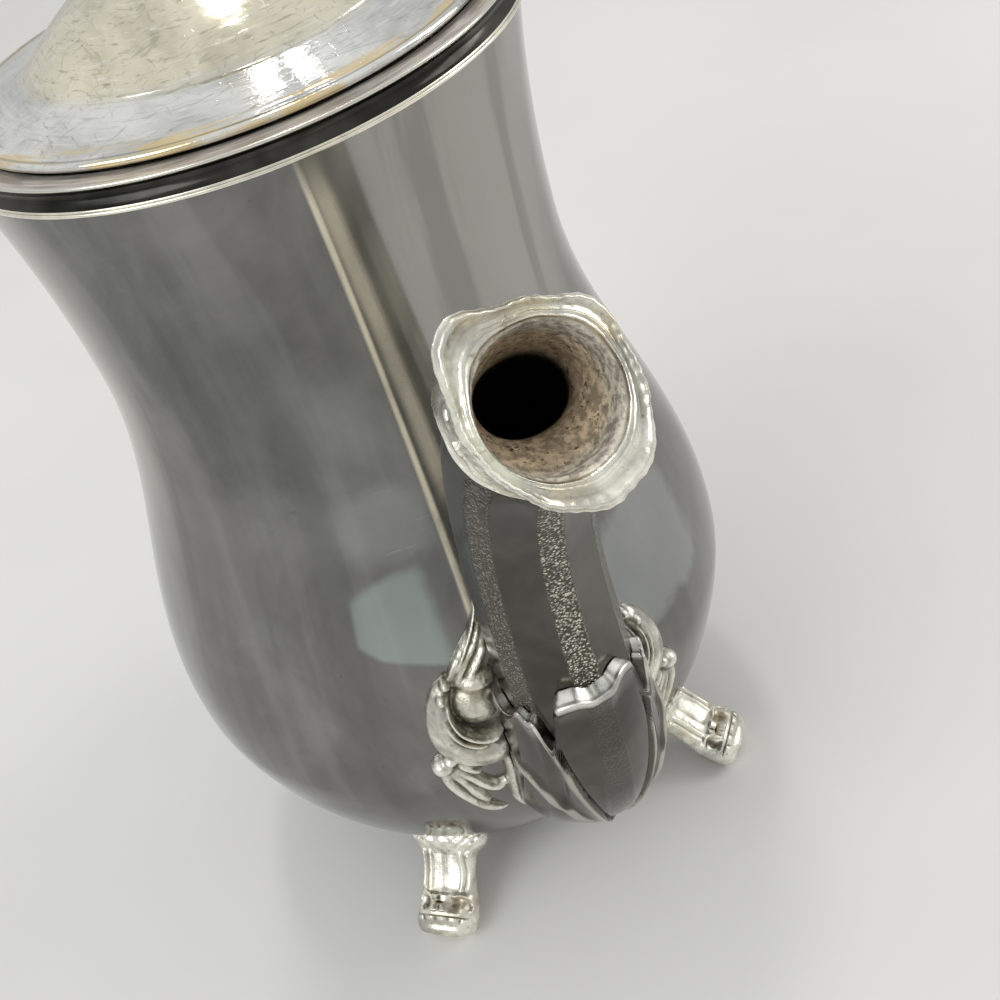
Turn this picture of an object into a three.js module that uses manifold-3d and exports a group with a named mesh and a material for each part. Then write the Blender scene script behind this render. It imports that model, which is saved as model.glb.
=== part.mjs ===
// A footed, pear-shaped metal teapot with a panelled spout, a C-scroll handle and a hinged, domed lid.
// Lengths are in millimetres and angles in degrees. +Z is up and the spout points along +X.
import * as THREE from "three";
import { mergeVertices } from "three/addons/utils/BufferGeometryUtils.js";
import Module from "manifold-3d";

// Shared by all pieces
const seam = 0.3; // gap that solder or a running fit fills between neighbouring pieces
const sheet = 1.2; // thickness of the raised sheet metal
const overrun = 6; // how far a cutting shape passes what it cuts
const weld = 0.001; // vertices closer than this are one

// Body, turned about the upright axis
const bulgeRadius = 68;
const bulgeHeight = 68.2;
const neckRadius = 49;
const neckHeight = 158.6;
const rimRadius = 52.6;
const rimHeight = 201.8;
const bottomRadius = 36;
const bottomHeight = 12.4;
const lowerCurveShare = 1.27;
const neckCurveShare = 2.25;
const baseRise = 3.2;
const baseFlatRadius = 30;

// Strainer holes behind the spout
const strainerHoleRadius = 1.9;
const strainerPitch = 6.4;
const strainerHeight = 77;
const strainerRows = 4;
const strainerColumns = 3;

// Rim mount: a half-round wire under a cove, with a lip that carries the lid
const wireRadius = 1;
const coveHeight = 2;
const coveDepth = 1;
const lipHeight = 0.6;
const rimOpeningRadius = 47.6;

// Lid
const lidRadius = 49.3;
const lidEdgeHeight = 1.5;
const lidSlopeRise = 2.5;
const lidStepRadius = 35.4;
const lidStepHeight = 1;
const lidDomeRise = 14;
const lidDomeShare = 1.9;
const lidSheet = 1;
const bezelClearance = 0.7;
const bezelThickness = 1.2;
const bezelDepth = 7;

// Hinge behind the lid
const hingeReach = 58.2;
const hingeRise = 0.8;
const knuckleRadius = 2.4;
const knuckleHalfWidth = 3.6;
const hingeHalfWidth = 9;
const hingePinRadius = 1.2;
const hingeClearance = 0.1;
const bracketDrop = 14;
const leafLength = 17;
const leafHalfWidth = 7;
const leafThickness = 1.3;

// Finial
const finialBaseRadius = 9;
const finialBaseHeight = 3;
const finialWasherRadius = 6.2;
const finialWasherHeight = 1.6;
const finialKnobRadius = 9.6;
const finialKnobHeight = 19;
const finialScrewRadius = 1.5;
const finialScrewReach = 8;
const finialNutRadius = 4.2;
const finialNutHeight = 3;

// Spout
const spoutRootReach = 54;
const spoutRootHeight = 52;
const spoutReach = 103.7;
const spoutMouthHeight = 180.8;
const spoutRootRadius = 14.3;
const spoutMouthRadius = 11;
const spoutLowerShares = [[0, 0], [0.201, 0.039], [0.342, 0.14], [0.372, 0.411]];
const spoutUpperShares = [[0.372, 0.411], [0.402, 0.761], [0.662, 0.915], [1, 1]];
const spoutBands = 6;
const bandHalfAngle = 12;

// Cast sheath at the spout's foot
const sheathThickness = 1.5;
const sheathCurl = 2.6;
const sheathBulge = 1.6;
const sheathTipHeight = 104.5;
const sheathValleyHeight = 90;
const sheathEdgeShares = [1, 1, 1, 0.96, 0, 0.35, 0.4, 0.3, 0.2, 0.2, 0.2, 0.2, 0.2, 0.2, 0.2, 0.2, 0.2];
const sheathSteps = 7;

// Cast collar round the spout's mouth
const collarDepth = 7;
const collarLipRise = 2.2;
const collarFlangeRadius = 16.2;
const collarBoreRadius = 10.1;
const collarWall = 1.3;
const collarOutlineShares = [
  1, 1.02, 0.96, 0.84, 0.78, 0.88, 0.89, 0.81, 0.83, 0.99, 0.98, 0.79, 0.76, 0.76, 0.79, 0.9,
];

// Cast leafwork beside the spout; path shares run across and up from the boss
const bossRadius = 5.2;
const bossAngle = 14.6;
const bossHeight = 91.5;
const leafReach = 40;
const leafRelief = 1.2;
const leafBars = [
  { path: [[0.09, 0.09], [0.19, 0.02], [0.2, -0.13], [0.12, -0.26], [-0.04, -0.28]], shares: [0.5, 1.1, 0.8] },
  { path: [[0.09, 0.11], [0.02, 0.2], [-0.06, 0.26], [-0.1, 0.38]], shares: [0.6, 0.45, 0.25] },
  { path: [[0.12, -0.3], [0.27, -0.47], [0.24, -0.7], [0.09, -0.94]], shares: [0.6, 0.5, 0.3] },
  { path: [[0.12, -0.3], [0.21, -0.52], [0.16, -0.8]], shares: [0.6, 0.45, 0.25] },
  { path: [[0.1, -0.3], [0.14, -0.52], [0.04, -0.66]], shares: [0.6, 0.45, 0.25] },
  { path: [[-0.03, -0.25], [0.02, -0.42], [0.03, -0.65], [-0.03, -0.87], [-0.14, -1.05]], shares: [0.7, 0.5, 0.4] },
];
const leafBarRadius = 3.6;

// Feet
const footAngles = { front_left: 43, back_left: 137, back_right: -137, front_right: -43 };
const footToeInset = 4.6; // how far the toes' middles stay inside the belly's radius
const footToeRadius = 4.8;
const footToeHeight = 4.3;
const footToeHalfWidth = 8;
const footShankHalfWidth = 7;
const footTopHalfWidth = 10.5;
const footRootOutset = 4; // how far the feet start outside the body's flat bottom
const footRootHeight = 20.5;
const footShankThickness = 3;
const footFluteDepth = 0.6;

// Handle
const handleReach = 108;
const handleMidDrop = 13; // from the upper socket down to the grip's outermost point
const gripRadius = 5.6;
const gripWaistShare = 0.16;
const upperSocketSink = 4.1; // how far the socket's root lies inside the body's skin
const upperSocketDrop = 36.8; // below the body's top edge
const upperSocketAngle = 35;
const upperSocketLength = 18;
const lowerSocketSink = 6.5;
const lowerSocketHeight = 75;
const lowerSocketAngle = 40;
const lowerSocketLength = 18;
const socketRootRadius = 9;
const socketTipRadius = 6.3;
const insulatorRadius = 6.4;
const insulatorThickness = 3;
const tenonRadius = 3;
const tenonLength = 5.6;
const handlePinRadius = 0.8;
const gripUpperPullShare = 0.5;
const gripLowerPullShare = 0.42;
const gripSwellShare = 0.62;
const thumbRestLength = 11;
const thumbRestWidth = 5.5;
const thumbRestThickness = 2.4;
const thumbRestShare = 0.3;

// Facet counts
const turns = 36;
const midTurns = 24;
const smallTurns = 16;
const bodySteps = [7, 7, 3];
const lidDomeSteps = 5;
const gripSteps = 22;
const footSides = 18;
const spoutSteps = 16;

const wasm = await Module();
wasm.setup();
const radians = THREE.MathUtils.degToRad;

// Metal and insulator finishes
const silver = new THREE.MeshStandardMaterial({ color: 0x8f8b86, roughness: 0.16, metalness: 1 });
const castSilver = new THREE.MeshStandardMaterial({ color: 0xd8d3c6, roughness: 0.3, metalness: 1 });
const lidSilver = new THREE.MeshStandardMaterial({ color: 0xd9d6c8, roughness: 0.22, metalness: 1 });
const steel = new THREE.MeshStandardMaterial({ color: 0xa6a29a, roughness: 0.35, metalness: 1 });
const ivoryResin = new THREE.MeshStandardMaterial({ color: 0x201d1b, roughness: 0.5, metalness: 0 });

// A closed surface as a solid, with its faces turned outwards.
function toSolid(geometry) {
  const loose = geometry.index ? geometry.toNonIndexed() : geometry;
  const bare = new THREE.BufferGeometry();
  bare.setAttribute("position", loose.getAttribute("position"));
  const merged = mergeVertices(bare, weld);
  const corners = merged.index.array;
  const kept = [];
  for (let i = 0; i < corners.length; i += 3) {
    const [a, b, c] = corners.slice(i, i + 3);
    if (a !== b && b !== c && c !== a) {
      kept.push(a, b, c);
    }
  }
  const build = (triangles) =>
    new wasm.Manifold(
      new wasm.Mesh({
        numProp: 3,
        vertProperties: merged.getAttribute("position").array,
        triVerts: new Uint32Array(triangles),
      }),
    );
  const solid = build(kept);
  return solid.volume() < 0 ? build(kept.reverse()) : solid;
}

// The largest piece of a solid that a cut has parted.
function largest(solid) {
  const pieces = solid.decompose();
  return pieces.reduce((best, piece) => (piece.volume() > best.volume() ? piece : best));
}

// A named mesh of a solid.
function mesh(name, solid, material) {
  const made = solid.getMesh();
  const geometry = new THREE.BufferGeometry();
  geometry.setAttribute("position", new THREE.BufferAttribute(made.vertProperties, 3));
  geometry.setIndex(new THREE.BufferAttribute(made.triVerts, 1));
  geometry.computeVertexNormals();
  const piece = new THREE.Mesh(geometry, material);
  piece.name = name;
  return piece;
}

// A profile of [radius, height] points turned about the upright axis.
function revolve(profile, segments = turns) {
  const points = profile.map(([radius, height]) => new THREE.Vector2(radius, height));
  return toSolid(new THREE.LatheGeometry(points, segments).rotateX(Math.PI / 2));
}

// A profile that closes on itself, turned to a ring.
function revolveRing(profile, segments = turns) {
  return revolve([...profile, profile[0]], segments);
}

// A profile moved outwards along its own normals; it runs upwards.
function offsetProfile(profile, distance) {
  return profile.map(([radius, height], i) => {
    const before = profile[Math.max(i - 1, 0)];
    const after = profile[Math.min(i + 1, profile.length - 1)];
    const run = after[0] - before[0];
    const rise = after[1] - before[1];
    const length = Math.hypot(run, rise);
    return [radius + (distance * rise) / length, height - (distance * run) / length];
  });
}

// A skin through equal rings of points, closed by caps or by joining its last ring to its first.
function loft(rings, isLoop = false) {
  const count = rings[0].length;
  const points = rings.flat();
  const corners = [];
  const spans = isLoop ? rings.length : rings.length - 1;
  for (let i = 0; i < spans; i += 1) {
    for (let j = 0; j < count; j += 1) {
      const a = i * count + j;
      const b = i * count + ((j + 1) % count);
      const c = ((i + 1) % rings.length) * count + ((j + 1) % count);
      const d = ((i + 1) % rings.length) * count + j;
      corners.push(a, b, c, a, c, d);
    }
  }
  if (!isLoop) {
    [0, rings.length - 1].forEach((row, end) => {
      const centre = new THREE.Vector3();
      rings[row].forEach((point) => centre.addScaledVector(point, 1 / count));
      points.push(centre);
      for (let j = 0; j < count; j += 1) {
        const pair = [row * count + j, row * count + ((j + 1) % count)];
        corners.push(points.length - 1, ...(end ? pair : pair.reverse()));
      }
    });
  }
  const geometry = new THREE.BufferGeometry().setFromPoints(points);
  geometry.setIndex(corners);
  return toSolid(geometry);
}

// A round bar of changing thickness along a curve.
function bar(curve, radiusAt, steps, sides) {
  const frames = curve.computeFrenetFrames(steps, false);
  const rings = frames.tangents.map((_, i) => {
    const centre = curve.getPointAt(i / steps);
    const radius = radiusAt(i / steps);
    return circle(sides).map(([across, along]) =>
      centre
        .clone()
        .addScaledVector(frames.normals[i], radius * across)
        .addScaledVector(frames.binormals[i], radius * along),
    );
  });
  return loft(rings);
}

// The corners of a polygon on a circle of radius 1.
function circle(sides) {
  return Array.from({ length: sides }, (_, i) => {
    const angle = (2 * Math.PI * i) / sides;
    return [Math.cos(angle), Math.sin(angle)];
  });
}

// A round pin or drill of a given length, centred on a point and laid along a direction.
function rod(radius, length, centre, direction, sides = smallTurns) {
  const up = new THREE.Vector3(0, 1, 0);
  const turn = new THREE.Quaternion().setFromUnitVectors(up, direction.clone().normalize());
  const geometry = new THREE.CylinderGeometry(radius, radius, length, sides);
  geometry.applyQuaternion(turn).translate(centre.x, centre.y, centre.z);
  return toSolid(geometry);
}

// An egg-shaped lump with three half axes, turned about the upright axis to an angle.
function lump(halfAxes, centre, angle = 0) {
  const geometry = new THREE.SphereGeometry(1, smallTurns, smallTurns / 2);
  geometry.rotateX(Math.PI / 2).scale(...halfAxes);
  geometry.rotateZ(radians(angle)).translate(centre.x, centre.y, centre.z);
  return toSolid(geometry);
}

// A point on a vertical plane through the axis, the reach being negative behind.
const onPlane = (reach, height) => new THREE.Vector3(reach, 0, height);

const { lerp } = THREE.MathUtils;

// Body profile: a bowl, a cosine sweep to the waist of the neck, and a flare to the rim.
function bodyProfile() {
  const points = [];
  const [bowlSteps, sweepSteps, flareSteps] = bodySteps;
  for (let i = 0; i < bowlSteps; i += 1) {
    const angle = ((Math.PI / 2) * i) / bowlSteps;
    const out = Math.sin(angle) ** lowerCurveShare;
    const up = 1 - Math.cos(angle) ** lowerCurveShare;
    points.push([lerp(bottomRadius, bulgeRadius, out), lerp(bottomHeight, bulgeHeight, up)]);
  }
  for (let i = 0; i < sweepSteps; i += 1) {
    const share = i / sweepSteps;
    const out = (1 + Math.cos(Math.PI * share)) / 2;
    points.push([lerp(neckRadius, bulgeRadius, out), lerp(bulgeHeight, neckHeight, share)]);
  }
  for (let i = 0; i <= flareSteps; i += 1) {
    const share = i / flareSteps;
    points.push([lerp(neckRadius, rimRadius, share ** neckCurveShare), lerp(neckHeight, rimHeight, share)]);
  }
  return points;
}

// Radius of the body at a height, read from its profile.
function bodyRadiusAt(height) {
  const profile = bodyProfile();
  const i = Math.max(1, profile.findIndex((point) => point[1] >= height));
  const [[lowRadius, low], [highRadius, high]] = [profile[i - 1], profile[i]];
  return lerp(lowRadius, highRadius, (height - low) / (high - low));
}

// A point a little above the body's skin, at an angle from the spout and a height.
function onBody(angle, height, lift) {
  const radius = bodyRadiusAt(height) + lift;
  return new THREE.Vector3(radius * Math.cos(radians(angle)), radius * Math.sin(radians(angle)), height);
}

// Everything inside the body's skin, grown by a gap, to cut what is soldered to the body.
function bodyEnvelope(gap) {
  const skin = offsetProfile(bodyProfile(), gap);
  const bottom = skin[0][1] - gap;
  const top = rimHeight + gap;
  return revolve([[0, bottom], [bottomRadius + gap, bottom], ...skin, [rimRadius + gap, top], [0, top]]);
}

function bodyShell() {
  const outer = bodyProfile();
  const inner = offsetProfile(outer, -sheet);
  inner[0][0] = outer[0][0];
  inner[inner.length - 1][1] = outer[outer.length - 1][1];
  let shell = revolveRing([...outer, ...inner.reverse()]);
  for (let row = 0; row < strainerRows; row += 1) {
    for (let column = 0; column < strainerColumns; column += 1) {
      const stagger = (row % 2) / 2 - 1 / 4;
      const across = (column - (strainerColumns - 1) / 2 + stagger) * strainerPitch;
      const height = strainerHeight + (row - (strainerRows - 1) / 2) * strainerPitch;
      const centre = new THREE.Vector3(bodyRadiusAt(height), across, height);
      const drill = rod(strainerHoleRadius, 2 * overrun, centre, new THREE.Vector3(1, 0, 0), 8);
      shell = shell.subtract(drill);
    }
  }
  return shell;
}

// Bottom plate, let into the body and dished upwards so that only its edge is low.
function basePlate() {
  const edge = bottomRadius - seam;
  const underside = [[edge, bottomHeight], [baseFlatRadius, bottomHeight]];
  for (let i = 1; i <= 3; i += 1) {
    const share = i / 3;
    const rise = baseRise * Math.sin((Math.PI / 2) * share);
    underside.push([baseFlatRadius * (1 - share), bottomHeight + rise]);
  }
  const top = underside.map(([radius, height]) => [radius, height + sheet]).reverse();
  return revolve([...underside.reverse(), ...top.reverse()]);
}

const wireCentre = rimRadius + wireRadius;
const mountBase = rimHeight + seam;
const coveBase = mountBase + 2 * wireRadius;
const mountTop = coveBase + coveHeight + lipHeight;

// Rim mount section, from the inner foot outwards, over the wire and cove to the lip.
function mountProfile(gap) {
  const points = [[rimOpeningRadius - gap, mountBase - gap]];
  for (let i = 0; i <= 4; i += 1) {
    const angle = Math.PI * (i / 4 - 1 / 2);
    const radius = wireRadius + gap;
    points.push([wireCentre + radius * Math.cos(angle), mountBase + wireRadius + radius * Math.sin(angle)]);
  }
  const lipRadius = wireCentre - coveDepth / 2;
  points.push([lipRadius - coveDepth / 2 + gap, coveBase + gap]);
  points.push([lipRadius - coveDepth + gap, coveBase + coveHeight / 2]);
  points.push([lipRadius + gap, coveBase + coveHeight]);
  points.push([lipRadius - lipHeight + gap, mountTop + gap]);
  points.push([rimOpeningRadius - gap, mountTop + gap]);
  return points;
}

const lidBase = mountTop + seam;

// Lid's upper surface from its edge inwards: rolled edge, shallow slope, small step and dome.
function lidSurface() {
  const slopeBase = lidBase + lidEdgeHeight;
  const stepBase = slopeBase + lidSlopeRise;
  const domeBase = stepBase + lidStepHeight;
  const points = [[lidRadius, lidBase]];
  points.push([lidRadius + lidEdgeHeight / 4, lidBase + lidEdgeHeight / 2]);
  points.push([lidRadius - lidEdgeHeight / 4, slopeBase]);
  points.push([lidRadius - lidEdgeHeight, slopeBase + lidEdgeHeight / 8]);
  points.push([lidStepRadius + lidStepHeight, stepBase]);
  points.push([lidStepRadius, domeBase]);
  for (let i = 1; i <= lidDomeSteps; i += 1) {
    const share = 1 - i / lidDomeSteps;
    points.push([lidStepRadius * share, domeBase + lidDomeRise * (1 - share ** lidDomeShare)]);
  }
  return points;
}

const lidTop = lidBase + lidEdgeHeight + lidSlopeRise + lidStepHeight + lidDomeRise;

// Everything under the lid's upper surface down to its seat, grown by a gap.
function lidEnvelope(gap) {
  const grown = offsetProfile(lidSurface(), gap);
  grown[grown.length - 1] = [0, lidTop + gap];
  grown[0] = [grown[0][0], lidBase - overrun];
  return revolve([[0, lidBase - overrun], ...grown]);
}

function lidDome() {
  const outer = lidSurface();
  const seat = rimOpeningRadius - bezelClearance - bezelThickness;
  const inner = offsetProfile(outer.slice(4), -lidSheet);
  inner[inner.length - 1] = [0, lidTop - lidSheet];
  const shell = revolve([...outer, ...inner.reverse(), [seat, lidBase + lidSheet], [seat, lidBase]].concat([outer[0]]));
  return shell;
}

// Ring under the lid that drops into the rim's opening.
function lidBezel() {
  const outer = rimOpeningRadius - bezelClearance;
  const inner = outer - bezelThickness;
  const top = lidBase - seam;
  const bottom = top - bezelDepth;
  return revolveRing([[inner, bottom], [outer, bottom], [outer, top], [inner, top]]);
}

const hingeAxis = onPlane(-hingeReach, mountTop + hingeRise);
const sideways = new THREE.Vector3(0, 1, 0);
const upright = new THREE.Vector3(0, 0, 1);

// A flat outline of [reach, height] points on the middle plane, given a width to both sides.
function plate(outline, halfWidth) {
  const shape = new THREE.Shape(outline.map(([reach, height]) => new THREE.Vector2(reach, height)));
  const geometry = new THREE.ExtrudeGeometry(shape, { depth: 2 * halfWidth, bevelEnabled: false });
  geometry.translate(0, 0, -halfWidth).rotateX(Math.PI / 2);
  return toSolid(geometry);
}

// Bracket on the neck with the hinge's two outer knuckles.
function hingeBracket() {
  const back = -hingeReach - knuckleRadius;
  const top = hingeAxis.z;
  const foot = rimHeight - bracketDrop;
  const inside = -neckRadius + overrun;
  const outline = [[inside, foot], [-rimRadius - seam, foot], [back, mountBase], [back, top], [inside, top]];
  const slotCentre = onPlane(-hingeReach, top);
  const slotRadius = knuckleRadius + seam;
  const slot = rod(slotRadius, 2 * (knuckleHalfWidth + seam), slotCentre, sideways);
  const clearAbove = plate(
    [[-hingeReach, top - slotRadius], [inside, top - slotRadius], [inside, top + overrun], [-hingeReach, top + overrun]],
    knuckleHalfWidth + seam,
  );
  return largest(
    plate(outline, hingeHalfWidth)
      .add(rod(knuckleRadius, 2 * hingeHalfWidth, hingeAxis, sideways))
      .subtract(slot)
      .subtract(clearAbove)
      .subtract(revolveRing(mountProfile(seam)))
      .subtract(bodyEnvelope(seam))
      .subtract(lidEnvelope(2 * seam))
      .subtract(rod(hingePinRadius + hingeClearance, 4 * hingeHalfWidth, hingeAxis, sideways)),
  );
}

// Leaf on the lid with the hinge's middle knuckle; it follows the lid's slope.
function hingeLeaf() {
  const reach = lidRadius - leafLength;
  const outline = new THREE.Shape();
  outline.moveTo(-hingeReach, -knuckleHalfWidth);
  outline.lineTo(-lidRadius, -knuckleHalfWidth);
  outline.quadraticCurveTo(-lidRadius + leafHalfWidth, -2 * leafHalfWidth, -reach, 0);
  outline.quadraticCurveTo(-lidRadius + leafHalfWidth, 2 * leafHalfWidth, -lidRadius, knuckleHalfWidth);
  outline.lineTo(-hingeReach, knuckleHalfWidth);
  const blank = new THREE.ExtrudeGeometry(outline, { depth: 2 * overrun, bevelEnabled: false, curveSegments: 6 });
  const tongue = toSolid(blank.translate(0, 0, lidBase - overrun / 4))
    .intersect(lidEnvelope(seam + leafThickness))
    .subtract(lidEnvelope(seam));
  const top = hingeAxis.z + knuckleRadius;
  const bridge = plate(
    [[-hingeReach, hingeAxis.z], [-lidRadius, hingeAxis.z], [-lidRadius, top], [-hingeReach, top]],
    knuckleHalfWidth,
  ).subtract(lidEnvelope(seam));
  return largest(
    tongue
      .add(bridge)
      .add(rod(knuckleRadius, 2 * knuckleHalfWidth, hingeAxis, sideways))
      .subtract(revolveRing(mountProfile(seam)))
      .subtract(rod(hingePinRadius + hingeClearance, 4 * hingeHalfWidth, hingeAxis, sideways)),
  );
}

const washerBase = lidTop + seam + finialBaseHeight + seam;
const knobBase = washerBase + finialWasherHeight + seam;

// A turned piece with a hole for the finial's screw.
function drilledTurning(profile) {
  const hole = finialScrewRadius + seam;
  return revolve([[0, profile[0][1]], ...profile, [0, profile[profile.length - 1][1]]], midTurns).subtract(
    rod(hole, 2 * (lidTop - rimHeight), onPlane(0, lidTop), upright),
  );
}

function finialBase() {
  const low = lidTop - finialBaseHeight / 2;
  const high = lidTop + seam + finialBaseHeight;
  return drilledTurning([
    [finialBaseRadius, low],
    [finialBaseRadius, high - finialBaseHeight / 2],
    [finialBaseRadius * 0.86, high - finialBaseHeight / 3],
    [finialWasherRadius, high],
  ]).subtract(lidEnvelope(seam));
}

function finialWasher() {
  return drilledTurning([
    [finialWasherRadius, washerBase],
    [finialWasherRadius, washerBase + finialWasherHeight],
  ]);
}

// Turned knob: short stem, round body and a small button; its screw hole stops inside.
function finialKnob() {
  const knobShares = [
    [0.56, 0], [0.4, 0.1], [0.42, 0.2], [0.78, 0.32], [1, 0.5], [0.9, 0.67],
    [0.5, 0.8], [0.24, 0.84], [0.26, 0.9], [0.2, 0.97],
  ];
  const side = knobShares.map(([out, up]) => [finialKnobRadius * out, knobBase + finialKnobHeight * up]);
  const hole = finialScrewRadius + seam;
  const depth = 2 * (finialScrewReach + seam);
  return revolve([[0, knobBase], ...side, [0, knobBase + finialKnobHeight]], midTurns).subtract(
    rod(hole, depth, onPlane(0, knobBase), upright),
  );
}

const nutTop = lidTop - lidSheet - 2 * seam;

function finialNut() {
  const centre = onPlane(0, nutTop - finialNutHeight / 2);
  return rod(finialNutRadius, finialNutHeight, centre, upright, 6).subtract(
    rod(finialScrewRadius + seam, 2 * finialNutHeight, centre, upright),
  );
}

function finialScrew() {
  const low = nutTop - finialNutHeight - seam;
  const high = knobBase + finialScrewReach;
  return rod(finialScrewRadius, high - low, onPlane(0, (low + high) / 2), upright);
}

// Spout centre line: two Bezier arcs from inside the body up to the mouth.
function spoutLine() {
  const place = ([out, up]) =>
    onPlane(lerp(spoutRootReach, spoutReach, out), lerp(spoutRootHeight, spoutMouthHeight, up));
  const line = new THREE.CurvePath();
  line.add(new THREE.CubicBezierCurve3(...spoutLowerShares.map(place)));
  line.add(new THREE.CubicBezierCurve3(...spoutUpperShares.map(place)));
  return line;
}

const spoutCurve = spoutLine();
const spoutLength = spoutCurve.getLength();

// Centre, direction and outward normal of the spout at a share of its length.
function spoutFrame(share) {
  const centre = spoutCurve.getPointAt(share);
  const along = spoutCurve.getTangentAt(share).normalize();
  return { centre, along, out: onPlane(along.z, -along.x) };
}

const spoutRadiusAt = (share) => lerp(spoutRootRadius, spoutMouthRadius, THREE.MathUtils.smoothstep(share, 0, 1));

// A point of the spout at a share of its length, an angle from its front and a radius.
function spoutPoint(share, angle, radius) {
  const { centre, out } = spoutFrame(share);
  return centre
    .clone()
    .addScaledVector(out, radius * Math.cos(angle))
    .addScaledVector(sideways, radius * Math.sin(angle));
}

// Corner angles of the spout's section: wide flat panels between narrow bands.
function bandAngles() {
  const angles = [];
  for (let i = 0; i < spoutBands; i += 1) {
    const middle = (360 / spoutBands) * i;
    angles.push(radians(middle - bandHalfAngle), radians(middle + bandHalfAngle));
  }
  return angles;
}

// Rings of the panelled spout, between two shares of its length, grown by a gap.
function spoutRings(from, to, gap) {
  return Array.from({ length: spoutSteps + 1 }, (_, i) => {
    const share = lerp(from, to, i / spoutSteps);
    return bandAngles().map((angle) => spoutPoint(share, angle, spoutRadiusAt(share) + gap));
  });
}

const tubeEndShare = 1 - sheathThickness / spoutLength;

function spoutTube() {
  const outer = spoutRings(0, tubeEndShare, 0);
  const inner = spoutRings(0, tubeEndShare, -sheet).reverse();
  return largest(loft([...outer, ...inner], true).subtract(bodyEnvelope(seam)));
}

// Height of the sheath's leafy edge: a broad leaf in front, notches beside it and lower side leaves.
function sheathEdge(angle) {
  const place = (Math.abs(angle) / Math.PI) * (sheathEdgeShares.length - 1);
  const below = Math.floor(place);
  const above = Math.min(below + 1, sheathEdgeShares.length - 1);
  const share = lerp(sheathEdgeShares[below], sheathEdgeShares[above], place - below);
  return lerp(sheathValleyHeight, sheathTipHeight, share);
}

// Share of the spout's length at which its front reaches a height.
function spoutShareAt(height) {
  let low = 0;
  let high = 1;
  for (let i = 0; i < 24; i += 1) {
    const middle = (low + high) / 2;
    if (spoutCurve.getPointAt(middle).z < height) {
      low = middle;
    } else {
      high = middle;
    }
  }
  return low;
}

// Cast sheath: a cup of leaves round the spout's foot, full below, whose front tip curls outwards.
function spoutSheath() {
  const angles = Array.from({ length: 2 * smallTurns }, (_, i) => Math.PI * (i / smallTurns - 1));
  const skin = (gap, curl, bulge) =>
    Array.from({ length: sheathSteps + 1 }, (_, i) =>
      angles.map((angle) => {
        const rise = i / sheathSteps;
        const share = spoutShareAt(sheathEdge(angle)) * rise;
        const turnedOut = curl * rise ** 4 * Math.max(0, Math.cos(2 * angle)) * (Math.cos(angle) > 0 ? 1 : 0);
        const filled = bulge * Math.sin(Math.PI * rise ** 0.6) ** 2;
        return spoutPoint(share, angle, spoutRadiusAt(share) + gap + turnedOut + filled);
      }),
    );
  const outer = skin(seam + sheathThickness, sheathCurl, sheathBulge);
  const inner = skin(seam, sheathCurl * 0.6, 0).reverse();
  return largest(loft([...outer, ...inner], true).subtract(bodyEnvelope(seam)));
}

// The spout with its sheath, grown by a gap, to cut the leafwork beside it.
function spoutEnvelope(gap) {
  const sides = 2 * smallTurns;
  const cover = seam + sheathThickness + sheathBulge + gap;
  const rings = Array.from({ length: spoutSteps + 1 }, (_, i) => {
    const share = i / (2 * spoutSteps);
    return circle(sides).map((_, j) =>
      spoutPoint(share, (2 * Math.PI * j) / sides, spoutRadiusAt(share) + cover),
    );
  });
  return loft(rings);
}

// Collar: a ring with a wavy cast outline whose lip turns over the end of the tube.
function spoutCollar() {
  const sleeve = spoutMouthRadius + seam;
  const tubeEnd = seam - sheathThickness;
  const waist = sleeve + collarWall;
  const edge = collarFlangeRadius;
  const section = [
    [sleeve, -collarDepth], [waist, -collarDepth], [waist, -collarDepth * 0.6], [edge * 0.94, -collarDepth * 0.3],
    [edge, 0], [edge * 0.93, collarLipRise * 0.5], [sleeve, collarLipRise],
    [collarBoreRadius, collarLipRise / 2], [collarBoreRadius, tubeEnd], [sleeve, tubeEnd],
  ];
  const steps = 2 * smallTurns;
  const { centre, along, out } = spoutFrame(1);
  const rings = section.map(([radius, rise]) =>
    circle(steps).map(([front, side], i) => {
      const place = i / 2;
      const shares = [Math.floor(place), Math.ceil(place)].map((k) => collarOutlineShares[k % smallTurns]);
      const outline = lerp(...shares, place % 1);
      const wavy = radius > waist ? Math.max(radius * outline, waist) : radius;
      return centre
        .clone()
        .addScaledVector(along, rise)
        .addScaledVector(out, wavy * front)
        .addScaledVector(sideways, wavy * side);
    }),
  );
  return loft(rings, true).subtract(loft(spoutRings(0, tubeEndShare, seam)));
}

// Leafwork beside the spout: a boss in a crescent, with a tail above, leaf fingers below and a rib.
function spoutLeaf() {
  const place = ([across, up]) =>
    onBody(
      bossAngle + THREE.MathUtils.radToDeg((across * leafReach) / bulgeRadius),
      bossHeight + up * leafReach,
      -leafRelief,
    );
  const boss = place([0, 0]);
  const bars = leafBars.map(({ path, shares }) => {
    const [start, halfway, end] = shares;
    const thickness = (share) =>
      leafBarRadius * (share < 0.5 ? lerp(start, halfway, 2 * share) : lerp(halfway, end, 2 * share - 1));
    return bar(new THREE.CatmullRomCurve3(path.map(place)), (share) => thickness(share) + leafRelief / 2, 7, 8);
  });
  const leaf = bars.reduce(
    (joined, piece) => joined.add(piece),
    lump([bossRadius * 0.8, bossRadius, bossRadius], boss, bossAngle),
  );
  return largest(leaf.subtract(bodyEnvelope(seam)).subtract(spoutEnvelope(seam)));
}

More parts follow.
